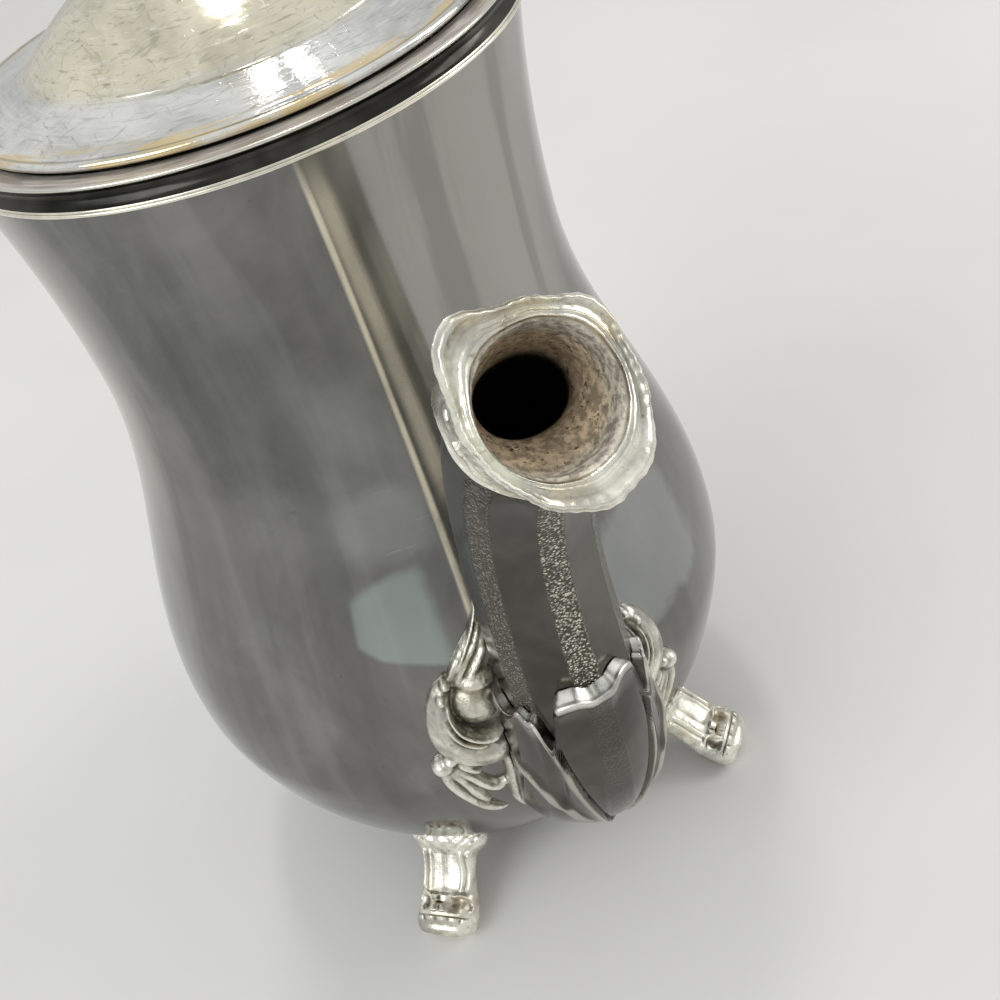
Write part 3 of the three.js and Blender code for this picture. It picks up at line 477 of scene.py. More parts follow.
def sheath_skins():
    """Outer and inner skin of the sheath; the inner one lies on the tube.

    Outer radius: the spout's plus a wall, a full lower part, the leaves and a front lip turned outwards.
    """
    angle = np.linspace(-180, 180, 420, endpoint=False)[None, :]
    edge_share = np.interp(sheath_edge(angle), SPOUT[2], SPOUT[0])

    def wall(rise):
        share = edge_share * rise
        from_edge = (1 - rise) * edge_share * SPOUT_LENGTH
        front = (1 - blend_in(31, 37, np.abs(angle))) * (1 - 0.7 * blend_in(4, 26, angle))
        out = 1.7 * front * np.clip(1 - from_edge / 6.5, 0, 1) ** 1.5
        full = 1.9 * np.sin(np.pi * np.clip(rise, 0, 1) ** 0.6) ** 2
        faceted = 0.6 * blend_in(0.5, 7, from_edge)
        corners = 1 - faceted + faceted * panelled(angle + PANEL_TURN)[0]
        radius = spout_radius(share) * corners + 1.5 + out + full
        radius = radius + sheath_relief(spout_point(share, angle, radius))
        return spout_point(share, angle, radius + 0.35 * hump(from_edge, 0.9, 0.8))

    outer = wall(1 - (1 - np.linspace(0, 1, 96)[:, None]) ** 1.25)
    lift = 0.9 * (1 - blend_in(29, 36, np.abs(angle))) * (1 - 0.5 * blend_in(4, 26, angle))
    lift = lift + 0.3 + 0.12 * np.sin(np.radians(angle) * 17)
    down = (edge_share + lift / SPOUT_LENGTH) * (1 - np.linspace(0, 1, 36)[:, None] ** 1.6)
    softened = np.mean([panelled(angle + PANEL_TURN + shift)[0] for shift in range(-9, 10, 3)], axis=0)
    inner = spout_point(down, angle, spout_radius(down) * softened + 0.12)
    over = np.linspace(0, 1, 11)[1:-1, None, None]
    broad = np.linalg.norm(outer[-1] - inner[0], axis=-1)[None, :, None] / 3.6
    arch = broad * (0.3 * hump(over, 0.12, 0.12) + 0.05 * np.sin(np.pi * over))
    rim = outer[-1] * (1 - over) + inner[0] * over + arch * np.array([0.25, 0, 0.97])
    band = 0.17 * (1 - blend_in(7.5, 12, np.abs(angle + 3))) * np.ones((96, 1))
    values = np.concatenate([band, np.zeros((45, 420))])
    rows = np.arange(141)[:, None]
    top = np.where((rows > 95) & (rows < 105), 1 - 0.4 * blend_in(34, 40, np.abs(angle)), 0.0)
    edge = 0.5 * hump(rows, 95, 1.6) * (1 - blend_in(32, 38, np.abs(angle)))
    # Side-leaf tips: painted highlight, carried in the lip value
    tips = 0.9 * hump(np.abs(angle), 57, 9) * blend_in(78, 95, rows) * (rows < 96)
    lip = np.maximum(np.maximum(top, edge), tips)
    return skin(np.concatenate([outer, rim, inner]), along=True, band=values, lip=lip)


# Finishes

class Value:
    """A number in a material, as a node's output; Python's operators add the Math nodes."""

    def __init__(self, finish, socket):
        self.finish, self.socket = finish, socket

    def __add__(self, other):
        return self.finish.math("ADD", self, other)

    def __sub__(self, other):
        return self.finish.math("SUBTRACT", self, other)

    def __rsub__(self, other):
        return self.finish.math("SUBTRACT", other, self)

    def __mul__(self, other):
        return self.finish.math("MULTIPLY", self, other)

    __radd__ = __add__
    __rmul__ = __mul__


class Finish:
    """A material while it is made: node() adds any node, and the rest are short forms of it."""

    def __init__(self, name):
        self.material = bpy.data.materials.new(name)
        self.material.use_nodes = True
        self.tree = self.material.node_tree
        self.tree.nodes.clear()
        self.where = self.node("TexCoord", out="Object")

    def node(self, kind, values=None, out=0, **settings):
        """Adds a node: its settings first, then the values or links of its sockets; returns an output."""
        node = self.tree.nodes.new("ShaderNode" + kind)
        for key, value in settings.items():
            setattr(node, key, value)
        for key, value in (values or {}).items():
            if isinstance(value, Value):
                self.tree.links.new(value.socket, node.inputs[key])
            else:
                node.inputs[key].default_value = value
        return Value(self, node.outputs[out]) if node.outputs else node

    def math(self, operation, first, second=0.0):
        return self.node("Math", {0: first, 1: second}, operation=operation)

    def noise(self, scale, detail=3, rough=0.5, vector=None, bend=0.0):
        values = {"Vector": vector or self.where, "Scale": scale, "Detail": detail, "Roughness": rough}
        return self.node("TexNoise", {**values, "Distortion": bend})

    def ramp(self, value, low, high, start=0.0, end=1.0):
        """Smooth step of a value from low..high to start..end."""
        values = {0: value, 1: low, 2: high, 3: start, 4: end}
        return self.node("MapRange", values, interpolation_type="SMOOTHSTEP")

    def mix(self, share, first, second):
        """Two colours mixed by a share."""
        first, second = ((*c, 1) if isinstance(c, tuple) and len(c) == 3 else c for c in (first, second))
        return self.node("Mix", {0: share, 6: first, 7: second}, out=2, data_type="RGBA")

    def cloud(self, low, high, scale, detail=3, rough=0.5, ends=(0.0, 1.0), **more):
        """Noise taken through a smooth step from low..high."""
        return self.ramp(self.noise(scale, detail, rough, **more), low, high, *ends)

    def layered(self, colour, *layers):
        """A colour with further colours laid over it, each by its share."""
        for share, above in layers:
            colour = self.mix(share, colour, above)
        return colour

    def stretched(self, scales, angle=(0, 0, 0)):
        """Object coordinates turned and then scaled on each axis."""
        values = {"Vector": self.where, "Rotation": np.radians(angle), "Scale": scales}
        return self.node("Mapping", values, vector_type="POINT")

    def polar(self, along, around, upward):
        """A coordinate from three values, for marks that follow the turning."""
        return self.node("CombineXYZ", {0: along, 1: around, 2: upward})

    def vectors(self, operation, first, second):
        return self.node("VectorMath", {0: first, 1: second}, operation=operation)

    def round_the_pot(self):
        """(angle in radians, height, radius) round the pot's axis."""
        centred = self.vectors("SUBTRACT", self.where, tuple(AXIS))
        x, y, z = (self.node("SeparateXYZ", {0: centred}, out=k) for k in range(3))
        return self.math("ARCTAN2", y, x), z, self.math("SQRT", x * x + y * y)

    def attribute(self, name):
        return self.node("Attribute", out="Fac", attribute_name=name)

    def bump(self, height, strength, distance, normal=None):
        values = {"Height": height, "Strength": strength, "Distance": distance}
        if normal:
            values["Normal"] = normal
        return self.node("Bump", values)

    def shader(self, colour, rough, normal, metallic=1.0):
        """The surface, from values or plain numbers, with a normal where there is one."""
        values = {"Base Color": colour, "Roughness": rough, "Metallic": metallic}
        if normal:
            values["Normal"] = normal
        surface = self.node("BsdfPrincipled", values)
        self.node("OutputMaterial", {"Surface": surface})
        return self.material


def colours():
    """The chosen colours as plain tuples."""
    chosen = bpy.context.scene.teapot_colours
    return {key: tuple(getattr(chosen, key)) for key in TeapotColours.__annotations__}


def shade(colour, factor):
    return tuple(min(1.0, channel * factor) for channel in colour)


def stained(finish, colour, rough):
    """Inside of the pot: tea stain in speckles with dark pits.

    It lies where "inside" is 1, is paler where "pale" is, and black where "deep" is: a painted shadow far
    down the bore.
    """
    stain = colours()["stain"]
    inside = finish.attribute("inside")
    speckle = finish.cloud(0.4, 0.6, 700, 5, 0.65)
    # Paler speckled grey near the mouth of the bore
    paler_speckle = finish.mix(speckle, (0.26, 0.25, 0.22), (0.66, 0.64, 0.56))
    tea = finish.layered(
        finish.mix(speckle, shade(stain, 0.55), shade(stain, 1.3)),
        (finish.cloud(0.38, 0.62, 110, 3, 0.55, bend=0.6) * 0.55, (0.3, 0.23, 0.16)),
        (finish.cloud(0.6, 0.66, 1100, 3, 0.6, bend=0.4) * 0.85, (0.03, 0.02, 0.014)),
        (finish.attribute("pale") * 0.8, paler_speckle),
        # Painted shadow far down the bore
        (finish.attribute("deep"), (0.002, 0.0015, 0.001)),
    )
    return finish.mix(inside, colour, tea), rough * (1 - inside) + inside * 0.5, 1 - inside * 0.92


# Patches on the plating: middle and half sizes in millimetres, colour, strength, raggedness, and the
# distances in half sizes at which they begin and are full. The first is a haze round the scratches and the
# second and fourth are hazy films; the dark third and the greenish fifth are painted reflections
HAZE_AND_REFLECTION_PATCHES = [
    ((50.9, -17.4, 131.0), (9, 9, 7.5), (0.42, 0.43, 0.42), 0.35, 1.6, 1.25, 0.35),
    ((46.6, -17.0, 152.0), (14, 10, 12), (0.34, 0.345, 0.34), 0.3, 1.6, 1.25, 0.35),
    ((40.0, -31.0, 157.5), (16, 14, 22), (0.10, 0.10, 0.105), 0.4, 1.6, 1.25, 0.35),
    ((-52.0, 20.0, 120.0), (14, 16, 16), (0.4, 0.42, 0.41), 0.35, 1.6, 1.25, 0.35),
    ((57.3, 30.1, 93.4), (15, 13, 15), (0.43, 0.455, 0.45), 0.42, 1.1, 1.05, 0.8),
]
# Painted reflection of a window, pale and greenish, beside the spout: for each edge its outward direction
# (across, up), its distance and its softness, in millimetres
WINDOW_REFLECTION_EDGES = [
    (-0.994, 0.106, 45.2, 0.8), (-0.688, -0.726, -54.6, 0.9), (-0.309, -0.951, -89.3, 0.7),
    (1, 0, -17.2, 2.0), (0, 1, 120.8, 1.8), (-0.362, 0.932, 121.3, 1.2),
]
WINDOW_REFLECTION_RADIUS = 60
# Painted reflection of the spout on the neck, as pale lines: angle as square * height^2 + slope * height +
# start, then half width in millimetres, height of the lower end in metres, and strength
SPOUT_REFLECTION_LINES = [((-8.839, 3.035, -0.406), 0.9, 0.1, 0.85), ((-14.307, 4.378, -0.424), 2.4, 0.125, 0.5)]
NECK_RADIUS = 52


def patch_mask(finish, middle, size, raggedness):
    """Fourth root of the sum of fourth powers of the way from a middle in half sizes, plus raggedness."""
    away = finish.vectors("SUBTRACT", finish.where, tuple(np.array(middle) * MM + AXIS))
    away = finish.vectors("MULTIPLY", away, tuple(1 / (np.array(size) * MM)))
    away = finish.vectors("MULTIPLY", away, away)
    away = finish.node("VectorMath", {0: away}, out="Value", operation="LENGTH")
    return finish.math("SQRT", away) + raggedness


def window_reflection_mask(finish, angle, height, ragged, bands):
    """The painted window reflection: the product of one soft edge for each row of WINDOW_REFLECTION_EDGES."""
    window_reflection = finish.ramp(bands, 0.3, 0.6, 0.8, 1.0)
    for across, up, reach, soft in WINDOW_REFLECTION_EDGES:
        away = angle * (WINDOW_REFLECTION_RADIUS * across) + height * (up / MM) + ragged * (soft * 1.5)
        window_reflection = window_reflection * finish.ramp(away, reach + soft, reach - soft)
    return window_reflection


def spout_reflection_mask(finish, angle, height, broken):
    """The painted reflection lines: near to each curve of SPOUT_REFLECTION_LINES, fading at its ends."""
    mask = 0.0
    for (square, slope, start), width, low_end, strength in SPOUT_REFLECTION_LINES:
        away = angle - (height * height * square + height * slope + start)
        aside = finish.math("ABSOLUTE", away * NECK_RADIUS)
        ends = finish.ramp(height, low_end, low_end + 0.012) * finish.ramp(height, 0.202, 0.192, 0.25, 1.0)
        mask = finish.math("MAXIMUM", mask, finish.ramp(aside, width, width * 0.2) * ends * broken * strength)
    return mask


def raised_silver():
    """Plated body: tarnish clouds, brighter upright zones on the neck that are a painted reflection, hazy
    wiped patches, and hazy films among which two patches are painted reflections.

    Over these a painted window reflection, the painted reflection of the spout as pale lines, fine scratches
    and slight waves.
    """
    finish = Finish("raised_silver")
    base = colours()["raised"]
    angle, height = finish.round_the_pot()[:2]
    clouds = finish.noise(26, 6, 0.6, bend=0.6)
    drift = finish.noise(14, 4, 0.6, vector=finish.stretched((1, 1, 0.3)))
    specks = finish.cloud(0.68, 0.76, 300, 5, 0.65)
    slanted = finish.stretched((1.0, 1.0, 0.35), (20, 0, 30))
    wiped = finish.cloud(0.52, 0.74, 13, 5, 0.65, vector=slanted, bend=0.9)
    # Lighter upright zones on the neck: a painted reflection
    zones = finish.math("COSINE", (angle + drift * 0.9 - 0.86) * 3)
    neck_reflection = finish.ramp(zones, -0.2, 0.55) * finish.ramp(height, 0.1, 0.165, 0.2, 1.0)
    tone = finish.ramp(clouds, 0.3, 0.72)
    bands = finish.noise(1.0, 4, 0.55, vector=finish.polar(angle * 4.5, height * 9, 0.0), bend=0.3)
    low = finish.ramp(height, 0.036, 0.021)
    colour = finish.layered(
        finish.mix(tone, shade(base, 0.66), shade(base, 1.22)),
        (neck_reflection * 0.8, (0.40, 0.392, 0.365)),
        (finish.ramp(drift, 0.42, 0.62) * 0.2, (0.27, 0.255, 0.215)),
        (wiped * 0.25, (0.42, 0.435, 0.44)),
        (specks * 0.4, shade(base, 0.3)),
        (finish.ramp(bands, 0.5, 0.64) * 0.22, (0.36, 0.36, 0.35)),
        (finish.ramp(bands, 0.48, 0.36) * 0.35, shade(base, 0.6)),
        (low * 0.75, (0.075, 0.07, 0.06)),
    )
    ragged = finish.noise(42, 5, 0.62, bend=0.5) - 0.5
    # Patches of haze, and painted reflections in the dark third and greenish fifth rows
    masks, haze_and_reflections = [], []
    for middle, size, patch_colour, strength, torn, far, near in HAZE_AND_REFLECTION_PATCHES:
        masks.append(finish.ramp(patch_mask(finish, middle, size, ragged * torn), far, near))
        haze_and_reflections.append((masks[-1] * strength, patch_colour))
    # Painted reflection of a window, pale and greenish
    window_reflection = window_reflection_mask(finish, angle, height, ragged, bands)
    # Painted reflection of the spout: golden lines, less metallic
    spout_reflection = spout_reflection_mask(finish, angle, height, finish.ramp(clouds, 0.3, 0.55, 0.5, 1.0))
    lines = finish.noise(700, 3, 0.6, vector=finish.stretched((0.4, 0.05, 1), (28, 0, 0)))
    scratches = finish.ramp(lines, 0.6, 0.72) * (wiped * 0.25 + masks[0] * 0.8)
    colour = finish.layered(
        colour, *haze_and_reflections,
        (window_reflection * 0.5, (0.44, 0.52, 0.485)),
        (spout_reflection, (0.9, 0.83, 0.66)),
        (scratches * 0.35, (0.6, 0.61, 0.6)),
    )
    rough = 0.1 + tone * 0.04 + wiped * 0.08 + specks * 0.15 + window_reflection * 0.05 + low * 0.25
    colour, rough, metal = stained(finish, colour, rough)
    waves = finish.bump(finish.noise(26, 2, 0.4), 0.10, 0.0012)
    return finish.shader(colour, rough, finish.bump(scratches, 0.03, 0.0001, waves), metal * (1 - spout_reflection * 0.6))


def rim_silver():
    """Rim mount: hazy brownish ledge, a nearly black cove of painted shade under a bright bead, and rubbed
    cream wires.
    """
    finish = Finish("rim_silver")
    angle, height, radius = finish.round_the_pot()
    streak = finish.noise(1.0, 4, 0.6, vector=finish.polar(radius * 900, angle * 5, height * 900))
    tone = finish.ramp(streak, 0.35, 0.65)
    ledge = finish.attribute("ledge")
    cove_shade_mottle = finish.cloud(0.4, 0.68, 24, 4, 0.6, bend=0.5)
    rubbed = finish.cloud(0.35, 0.65, 160, 4, 0.6)
    colour = finish.layered(
        finish.mix(tone, (0.3, 0.27, 0.24), (0.58, 0.54, 0.49)),
        # Painted shade in the cove, mottled
        (finish.attribute("cove"), finish.mix(cove_shade_mottle, (0.02, 0.02, 0.018), (0.1, 0.095, 0.085))),
        (finish.attribute("bead"), (0.72, 0.7, 0.64)),
        (finish.attribute("wire"), finish.mix(rubbed, shade(colours()["cast"], 0.85), (0.95, 0.91, 0.78))),
    )
    rough = 0.14 + tone * 0.08 + ledge * 0.22
    return finish.shader(colour, rough, finish.bump(streak, 0.1, 0.0001), 1 - ledge * 0.6)


def spout_silver():
    """Spout and sheath: dark panels, bands of pebbles with bright tops, and a rubbed lip.

    The back of the spout is pale as painted light, and the side-leaf tips carry painted highlights.
    """
    finish = Finish("spout_silver")
    band, rear, recess, lip = (finish.attribute(name) for name in ("band", "rear", "recess", "lip"))
    clouds = finish.noise(45, 4, 0.6, bend=0.4)
    cells = finish.node("TexVoronoi", {"Vector": finish.where, "Scale": 1750.0}, feature="F1")
    tops = finish.ramp(cells, 0.66, 0.2)
    lit = finish.cloud(0.4, 0.6, 900, 3, 0.6)
    panel = finish.mix(finish.ramp(clouds, 0.3, 0.7), (0.065, 0.06, 0.052), (0.125, 0.117, 0.102))
    pebbles = finish.mix(tops * (0.4 + lit * 0.6) * band, (0.085, 0.078, 0.066), (0.88, 0.83, 0.7))
    colour = finish.layered(
        finish.mix(finish.ramp(band, 0.1, 0.5), panel, pebbles),
        # Pale back of the spout: painted light
        (rear * 0.85, finish.mix(finish.ramp(clouds, 0.35, 0.65), (0.5, 0.48, 0.42), (0.95, 0.92, 0.82))),
        (finish.ramp(recess, 0.03, 0.25) * 0.6, shade(colours()["raised"], 0.25)),
        (finish.ramp(recess, -0.06, -0.3) * 0.45, shade(colours()["cast"], 1.1)),
        (lip, finish.mix(finish.cloud(0.36, 0.6, 190), (0.5, 0.505, 0.49), (0.96, 0.95, 0.9))),
    )
    rough = 0.13 + band * 0.08 + finish.cloud(0.4, 0.7, 420, 3, 0.6) * 0.06 + rear * 0.2 + lip * 0.14
    colour, rough, metal = stained(finish, colour, rough)
    waves = finish.bump(finish.noise(60, 2, 0.5), 0.12, 0.0008)
    normal = finish.bump(tops * band, 1.0, 0.00035, waves)
    return finish.shader(colour, rough, normal, metal * (1 - rear * 0.5))


def cast_silver():
    """Cast trim: pale warm silver with a fine grain, tarnished in recesses and rubbed bright on ridges.

    Between 30 and 150 mm above the table, where the leafwork is, it is duller.
    """
    finish = Finish("cast_silver")
    base, tarnish = colours()["cast"], colours()["tarnish"]
    height, recess = finish.round_the_pot()[1], finish.attribute("recess")
    grain = finish.noise(1500, 4, 0.65)
    hollow, ridge = finish.ramp(recess, 0.0, 0.16), finish.ramp(recess, -0.03, -0.2)
    aged = finish.ramp(height, 0.15, 0.125) * finish.ramp(height, 0.03, 0.042)
    dull = finish.cloud(0.4, 0.55, 150, 4, 0.6, ends=(0.25, 1.0), bend=0.6) * (1 - ridge * 0.9)
    colour = finish.layered(
        finish.mix(finish.cloud(0.35, 0.65, 110, 4, 0.6, bend=0.5), shade(base, 0.62), shade(base, 1.2)),
        (finish.cloud(0.5, 0.66, 75) * 0.4, (0.72, 0.6, 0.36)),
        (hollow * 0.88, tarnish),
        (ridge * 0.6, (0.97, 0.94, 0.86)),
        (finish.cloud(0.60, 0.72, 650, 3, 0.6) * 0.45, shade(tarnish, 0.8)),
        (aged * dull * 0.5, (0.22, 0.215, 0.19)),
    )
    rough = 0.24 + finish.ramp(grain, 0.3, 0.7) * 0.12 + hollow * 0.2 + aged * 0.04
    colour, rough, metal = stained(finish, colour, rough)
    lumps = finish.bump(finish.noise(360, 3, 0.55), 0.45, 0.0004 + aged * 0.0005)
    return finish.shader(colour, rough, finish.bump(grain, 0.3, 0.00012, lumps), metal)


def lid_silver():
    """Lid: circular strokes, a warm golden dome and a cool outer zone, with scribbled scratches over both.

    Gold streaks lie near its edge.
    """
    finish = Finish("lid_silver")
    base = colours()["lid"]
    angle, _, radius = finish.round_the_pot()
    strokes = finish.noise(1.0, 4, 0.6, vector=finish.polar(radius * 1400, angle * 6, 0.0))
    streak = finish.noise(1.0, 3, 0.5, vector=finish.polar(radius * 700, angle * 3, 4.0))
    slanted, crossing = finish.stretched((1, 0.12, 1), (0, 0, 40)), finish.stretched((0.1, 1, 1), (0, 0, 15))
    marks = finish.cloud(0.56, 0.68, 520, 3, 0.7, vector=slanted, bend=1.5)
    marks = marks + finish.cloud(0.58, 0.7, 620, 3, 0.7, vector=crossing, bend=1.2)
    outer = finish.ramp(radius + (strokes - 0.5) * 0.003, 0.0335, 0.0375)
    gold = finish.layered(
        finish.mix(finish.cloud(0.35, 0.65, 38, 4, 0.6, bend=0.5), shade(base, 0.85), (0.97, 0.92, 0.74)),
        (finish.ramp(strokes, 0.56, 0.68) * 0.6, (1.0, 0.98, 0.88)),
        (finish.ramp(strokes, 0.44, 0.32) * 0.6, shade(base, 0.5)),
    )
    cool = finish.layered(
        finish.mix(finish.cloud(0.35, 0.65, 55, 4, 0.6, bend=0.7), (0.64, 0.645, 0.63), (0.92, 0.925, 0.9)),
        (finish.ramp(strokes, 0.55, 0.66) * 0.5, (0.99, 0.99, 0.96)),
        (finish.ramp(strokes, 0.45, 0.34) * 0.45, (0.45, 0.45, 0.43)),
    )
    colour = finish.layered(
        finish.mix(outer, gold, cool),
        (marks * 0.34, (0.25, 0.25, 0.24)),
        (finish.ramp(radius, 0.0445, 0.047) * finish.ramp(streak, 0.45, 0.6) * 0.7, (0.86, 0.66, 0.3)),
        (finish.ramp(finish.attribute("recess"), 0.01, 0.1) * 0.8, (0.08, 0.075, 0.07)),
    )
    rough = 0.05 + finish.ramp(strokes, 0.3, 0.7) * 0.03 + marks * 0.03 + (1 - outer) * 0.06
    turning = finish.bump(strokes + marks * 0.3, 0.25, 0.0001)
    return finish.shader(colour, rough, finish.bump(finish.noise(34, 2, 0.5), 0.06, 0.001, turning))


def pin_steel():
    """Pins, screw and nut: grey drawn steel with turning marks."""
    finish = Finish("pin_steel")
    dirt = finish.cloud(0.5, 0.68, 240, 4, 0.6)
    colour = finish.mix(dirt * 0.6, (0.5, 0.48, 0.45), (0.14, 0.12, 0.1))
    return finish.shader(colour, 0.3 + dirt * 0.2, finish.bump(finish.noise(2600, 3, 0.6), 0.25, 0.00008))


def resin():
    """Insulators: near-black resin with a faint mottle."""
    finish = Finish("insulator_resin")
    base = colours()["resin"]
    mottle = finish.cloud(0.4, 0.65, 300, 4, 0.6)
    normal = finish.bump(finish.noise(900, 3, 0.6), 0.2, 0.0001)
    colour = finish.mix(mottle, base, shade(base, 2.2))
    return finish.shader(colour, 0.42 + mottle * 0.12, normal, metallic=0.0)


FINISHES = {}


def finish_named(name):
    """Each finish is made once, when it is first asked for."""
    makers = {
        "raised": raised_silver, "spout": spout_silver, "cast": cast_silver,
        "lid": lid_silver, "rim": rim_silver, "steel": pin_steel, "resin": resin,
    }
    if name not in FINISHES:
        FINISHES[name] = makers[name]()
    return FINISHES[name]


# Sizes and colours that can be changed

def length(name, description, default):
    return bpy.props.FloatProperty(
        name=name, description=description, default=default, min=0.0005, unit="LENGTH"
    )


def tint(name, description, default):
    return bpy.props.FloatVectorProperty(
        name=name, description=description, default=default, size=3, min=0, max=1, subtype="COLOR"
    )


BODY_LOW, BODY_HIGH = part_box("body_shell")
BELLY_RADIUS = (BODY_HIGH[1] - BODY_LOW[1]) / 2


class TeapotSizes(bpy.types.PropertyGroup):
    bulge_radius: length("Belly radius", "Radius of the body where it is widest", BELLY_RADIUS)
    neck_radius: length("Neck radius", "Radius of the waist below the rim", 0.049)
    rim_radius: length("Rim radius", "Radius of the body's top edge", 0.0526)
    sheet: length("Sheet thickness", "Thickness of the raised metal", 0.0012)
    lid_radius: length("Lid radius", "Radius of the lid's rolled edge", 0.0493)
    spout_root_radius: length("Spout root radius", "Radius of the spout where it leaves the body", 0.0143)
    spout_mouth_radius: length("Spout mouth radius", "Radius of the spout under its collar", 0.011)
    grip_radius: length("Grip radius", "Radius of the handle's grip at its ends", 0.0056)


class TeapotColours(bpy.types.PropertyGroup):
    raised: tint("Raised silver", "Worn plated body and spout", (0.19, 0.19, 0.187))
    cast: tint("Cast silver", "Cast collar, leaves and feet", (0.86, 0.835, 0.74))
    lid: tint("Lid silver", "Dome of the lid", (0.8, 0.76, 0.6))
    tarnish: tint("Tarnish", "Deposit in the recesses of cast pieces", (0.13, 0.105, 0.07))
    stain: tint("Tea stain", "Deposit inside the pot and spout", (0.61, 0.49, 0.345))
    resin: tint("Resin", "Heat insulators of the handle and knob", (0.014, 0.012, 0.011))
    floor: tint("Floor", "Plain floor under the pot", (0.72, 0.715, 0.7))


# Operators, one for each piece or group of like pieces

class TEAPOT_OT_body(bpy.types.Operator):
    """Body: the profile turned, with an inner wall one sheet inside it, and holes behind the spout"""

    bl_idname = "teapot.body"
    bl_label = "Body"

    def execute(self, context):
        wall = context.scene.teapot_sizes.sheet / MM
        outer = body_profile()
        inner = offset(body_profile((30, 44, 20)), -wall)
        inner[0, 0], inner[-1, 1] = outer[0, 0], outer[-1, 1]
        section = np.concatenate([outer, inner[::-1]])
        inside = np.concatenate([np.zeros(len(outer)), np.ones(len(inner))])
        rows, columns = np.meshgrid(np.arange(4), np.arange(3), indexing="ij")
        across = ((columns - 1 + (rows % 2) / 2 - 0.25) * HOLE_PITCH).ravel()
        height = (HOLES_HEIGHT + (rows - 1.5) * HOLE_PITCH).ravel()
        drill = np.array([[0, -9], [HOLE_RADIUS, -9], [HOLE_RADIUS, 9], [0, 9]], float)
        reach = on_body(np.zeros(len(height)), height)[0][:, 0]
        holes = zip(reach, across, height)
        drills = joined(*(turned(drill, 24, middle, (1, 0, 0), closed=False) for middle in holes))
        skins = turned(section, 160, inside=inside)
        build("body", skins, "raised", "body_shell", cutters=[drills])
        return {"FINISHED"}


class TEAPOT_OT_base_plate(bpy.types.Operator):
    """Bottom plate: flat edge, then a middle that rises as a quarter sine, one sheet thick"""

    bl_idname = "teapot.base_plate"
    bl_label = "Base plate"

    def execute(self, context):
        wall = context.scene.teapot_sizes.sheet / MM
        share = np.linspace(1, 0, 24)[:-1]
        low, high = BASE_HEIGHT, BASE_HEIGHT + wall
        rise = np.stack([30 * (1 - share), low + 3.2 * np.sin(np.pi / 2 * share)], axis=-1)
        edge = rounded([[30, low], [35.7, low], [35.7, high], [30, high]], 0.4, closed=False)
        section = np.concatenate([rise, edge[1:-1], rise[::-1] + np.array([0, wall])])
        plate = turned(section, 144, closed=False)
        build("base_plate_turned", plate, "raised", "base_plate")
        return {"FINISHED"}


class TEAPOT_OT_rim(bpy.types.Operator):
    """Rim mount: a section of two beads, a hollow cove, a small lip and a flat ledge, turned"""

    bl_idname = "teapot.rim"
    bl_label = "Rim mount"

    def execute(self, context):
        t = np.linspace(0, 1, 20)
        cove = np.stack([53.5 - 0.5 * t - 0.8 * np.sin(np.pi * t) ** 0.8, 203.15 + 2.9 * t], axis=-1)
        parts = {
            "foot": rounded([[47.6, 203.2], [47.6, 202.1], [52.6, 202.1]], 0.3, closed=False),
            "wire": np.concatenate([
                arc(53.75, 202.45, 0.34, -110, 70, 12), arc(53.6, 202.92, 0.24, -60, 100, 10),
            ]),
            "cove": cove,
            "bead": arc(52.75, 206.3, 0.3, -55, 95, 9),
            "ledge": np.array([[52.3, 206.56], [51.2, 206.5], [50.0, 206.46], [48.6, 206.42]]),
            "mouth": rounded([[48.2, 206.4], [47.6, 206.4], [47.6, 205.6]], 0.25, closed=False),
        }
        counts = [len(points) for points in parts.values()]
        marked = ("wire", "cove", "bead", "ledge")
        zones = {name: np.repeat([float(key == name) for key in parts], counts) for name in marked}
        rim = turned(np.concatenate(list(parts.values())), 192, **zones)
        build("rim_turned", rim, "rim", "rim_mount")
        return {"FINISHED"}


class TEAPOT_OT_spout(bpy.types.Operator):
    """Spout: a panelled section carried along an S-shaped line, with a bore that narrows below its mouth"""

    bl_idname = "teapot.spout"
    bl_label = "Spout"

    def execute(self, context):
        wall = context.scene.teapot_sizes.sheet / MM
        angle = np.linspace(0, 360, 240, endpoint=False)[None, :]
        shares, band = panelled(angle + PANEL_TURN)
        end = 1 - 1.5 / SPOUT_LENGTH
        out = np.linspace(0, end, 190)[:, None]
        back = end * (1 - np.linspace(0, 1, 90)[:, None] ** 1.5)
        depth = (end - back) * SPOUT_LENGTH
        outer = spout_point(out, angle, spout_radius(out) * shares)
        narrow = blend_in(0.5, 13, depth) * (1 - blend_in(26, 50, depth))
        squeeze = 1 - (0.28 + 0.14 * cosine(angle) ** 2) * narrow
        inner = spout_point(back, angle, (spout_radius(back) * 0.965 - wall * 0.6) * squeeze)
        front = spout_point(back, 0, 1) - spout_point(back, 0, 0)
        inner = inner + narrow[..., None] * (np.array([0, 1.1, 0]) - 2.6 * front)
        inside = (np.arange(280) > 187)[:, None] * 1.0
        pale = inside * (1 - np.concatenate([np.zeros((190, 1)), blend_in(0.5, 5, depth)]))
        # Painted shadow far down the bore, from 10 to 13.5 mm in
        deep = np.concatenate([np.zeros((190, 1)), blend_in(10, 13.5, depth)])
        band = band * (0.45 + 0.55 * hump(wrapped(angle + PANEL_TURN), 0, 20))
        bands = np.concatenate([np.repeat(band, 190, axis=0), np.zeros((90, 240))])
        # Back of the spout, painted pale as if lit
        rear = blend_in(105, 135, np.abs(wrapped(angle))) * (np.arange(280) < 190)[:, None]
        marks = {"band": bands, "inside": inside, "pale": pale, "deep": deep, "rear": rear}
        tube = skin(np.concatenate([outer, inner]), along=True, **marks)
        build("spout", tube, "spout", "spout_tube", cutters=[body_block()])
        return {"FINISHED"}


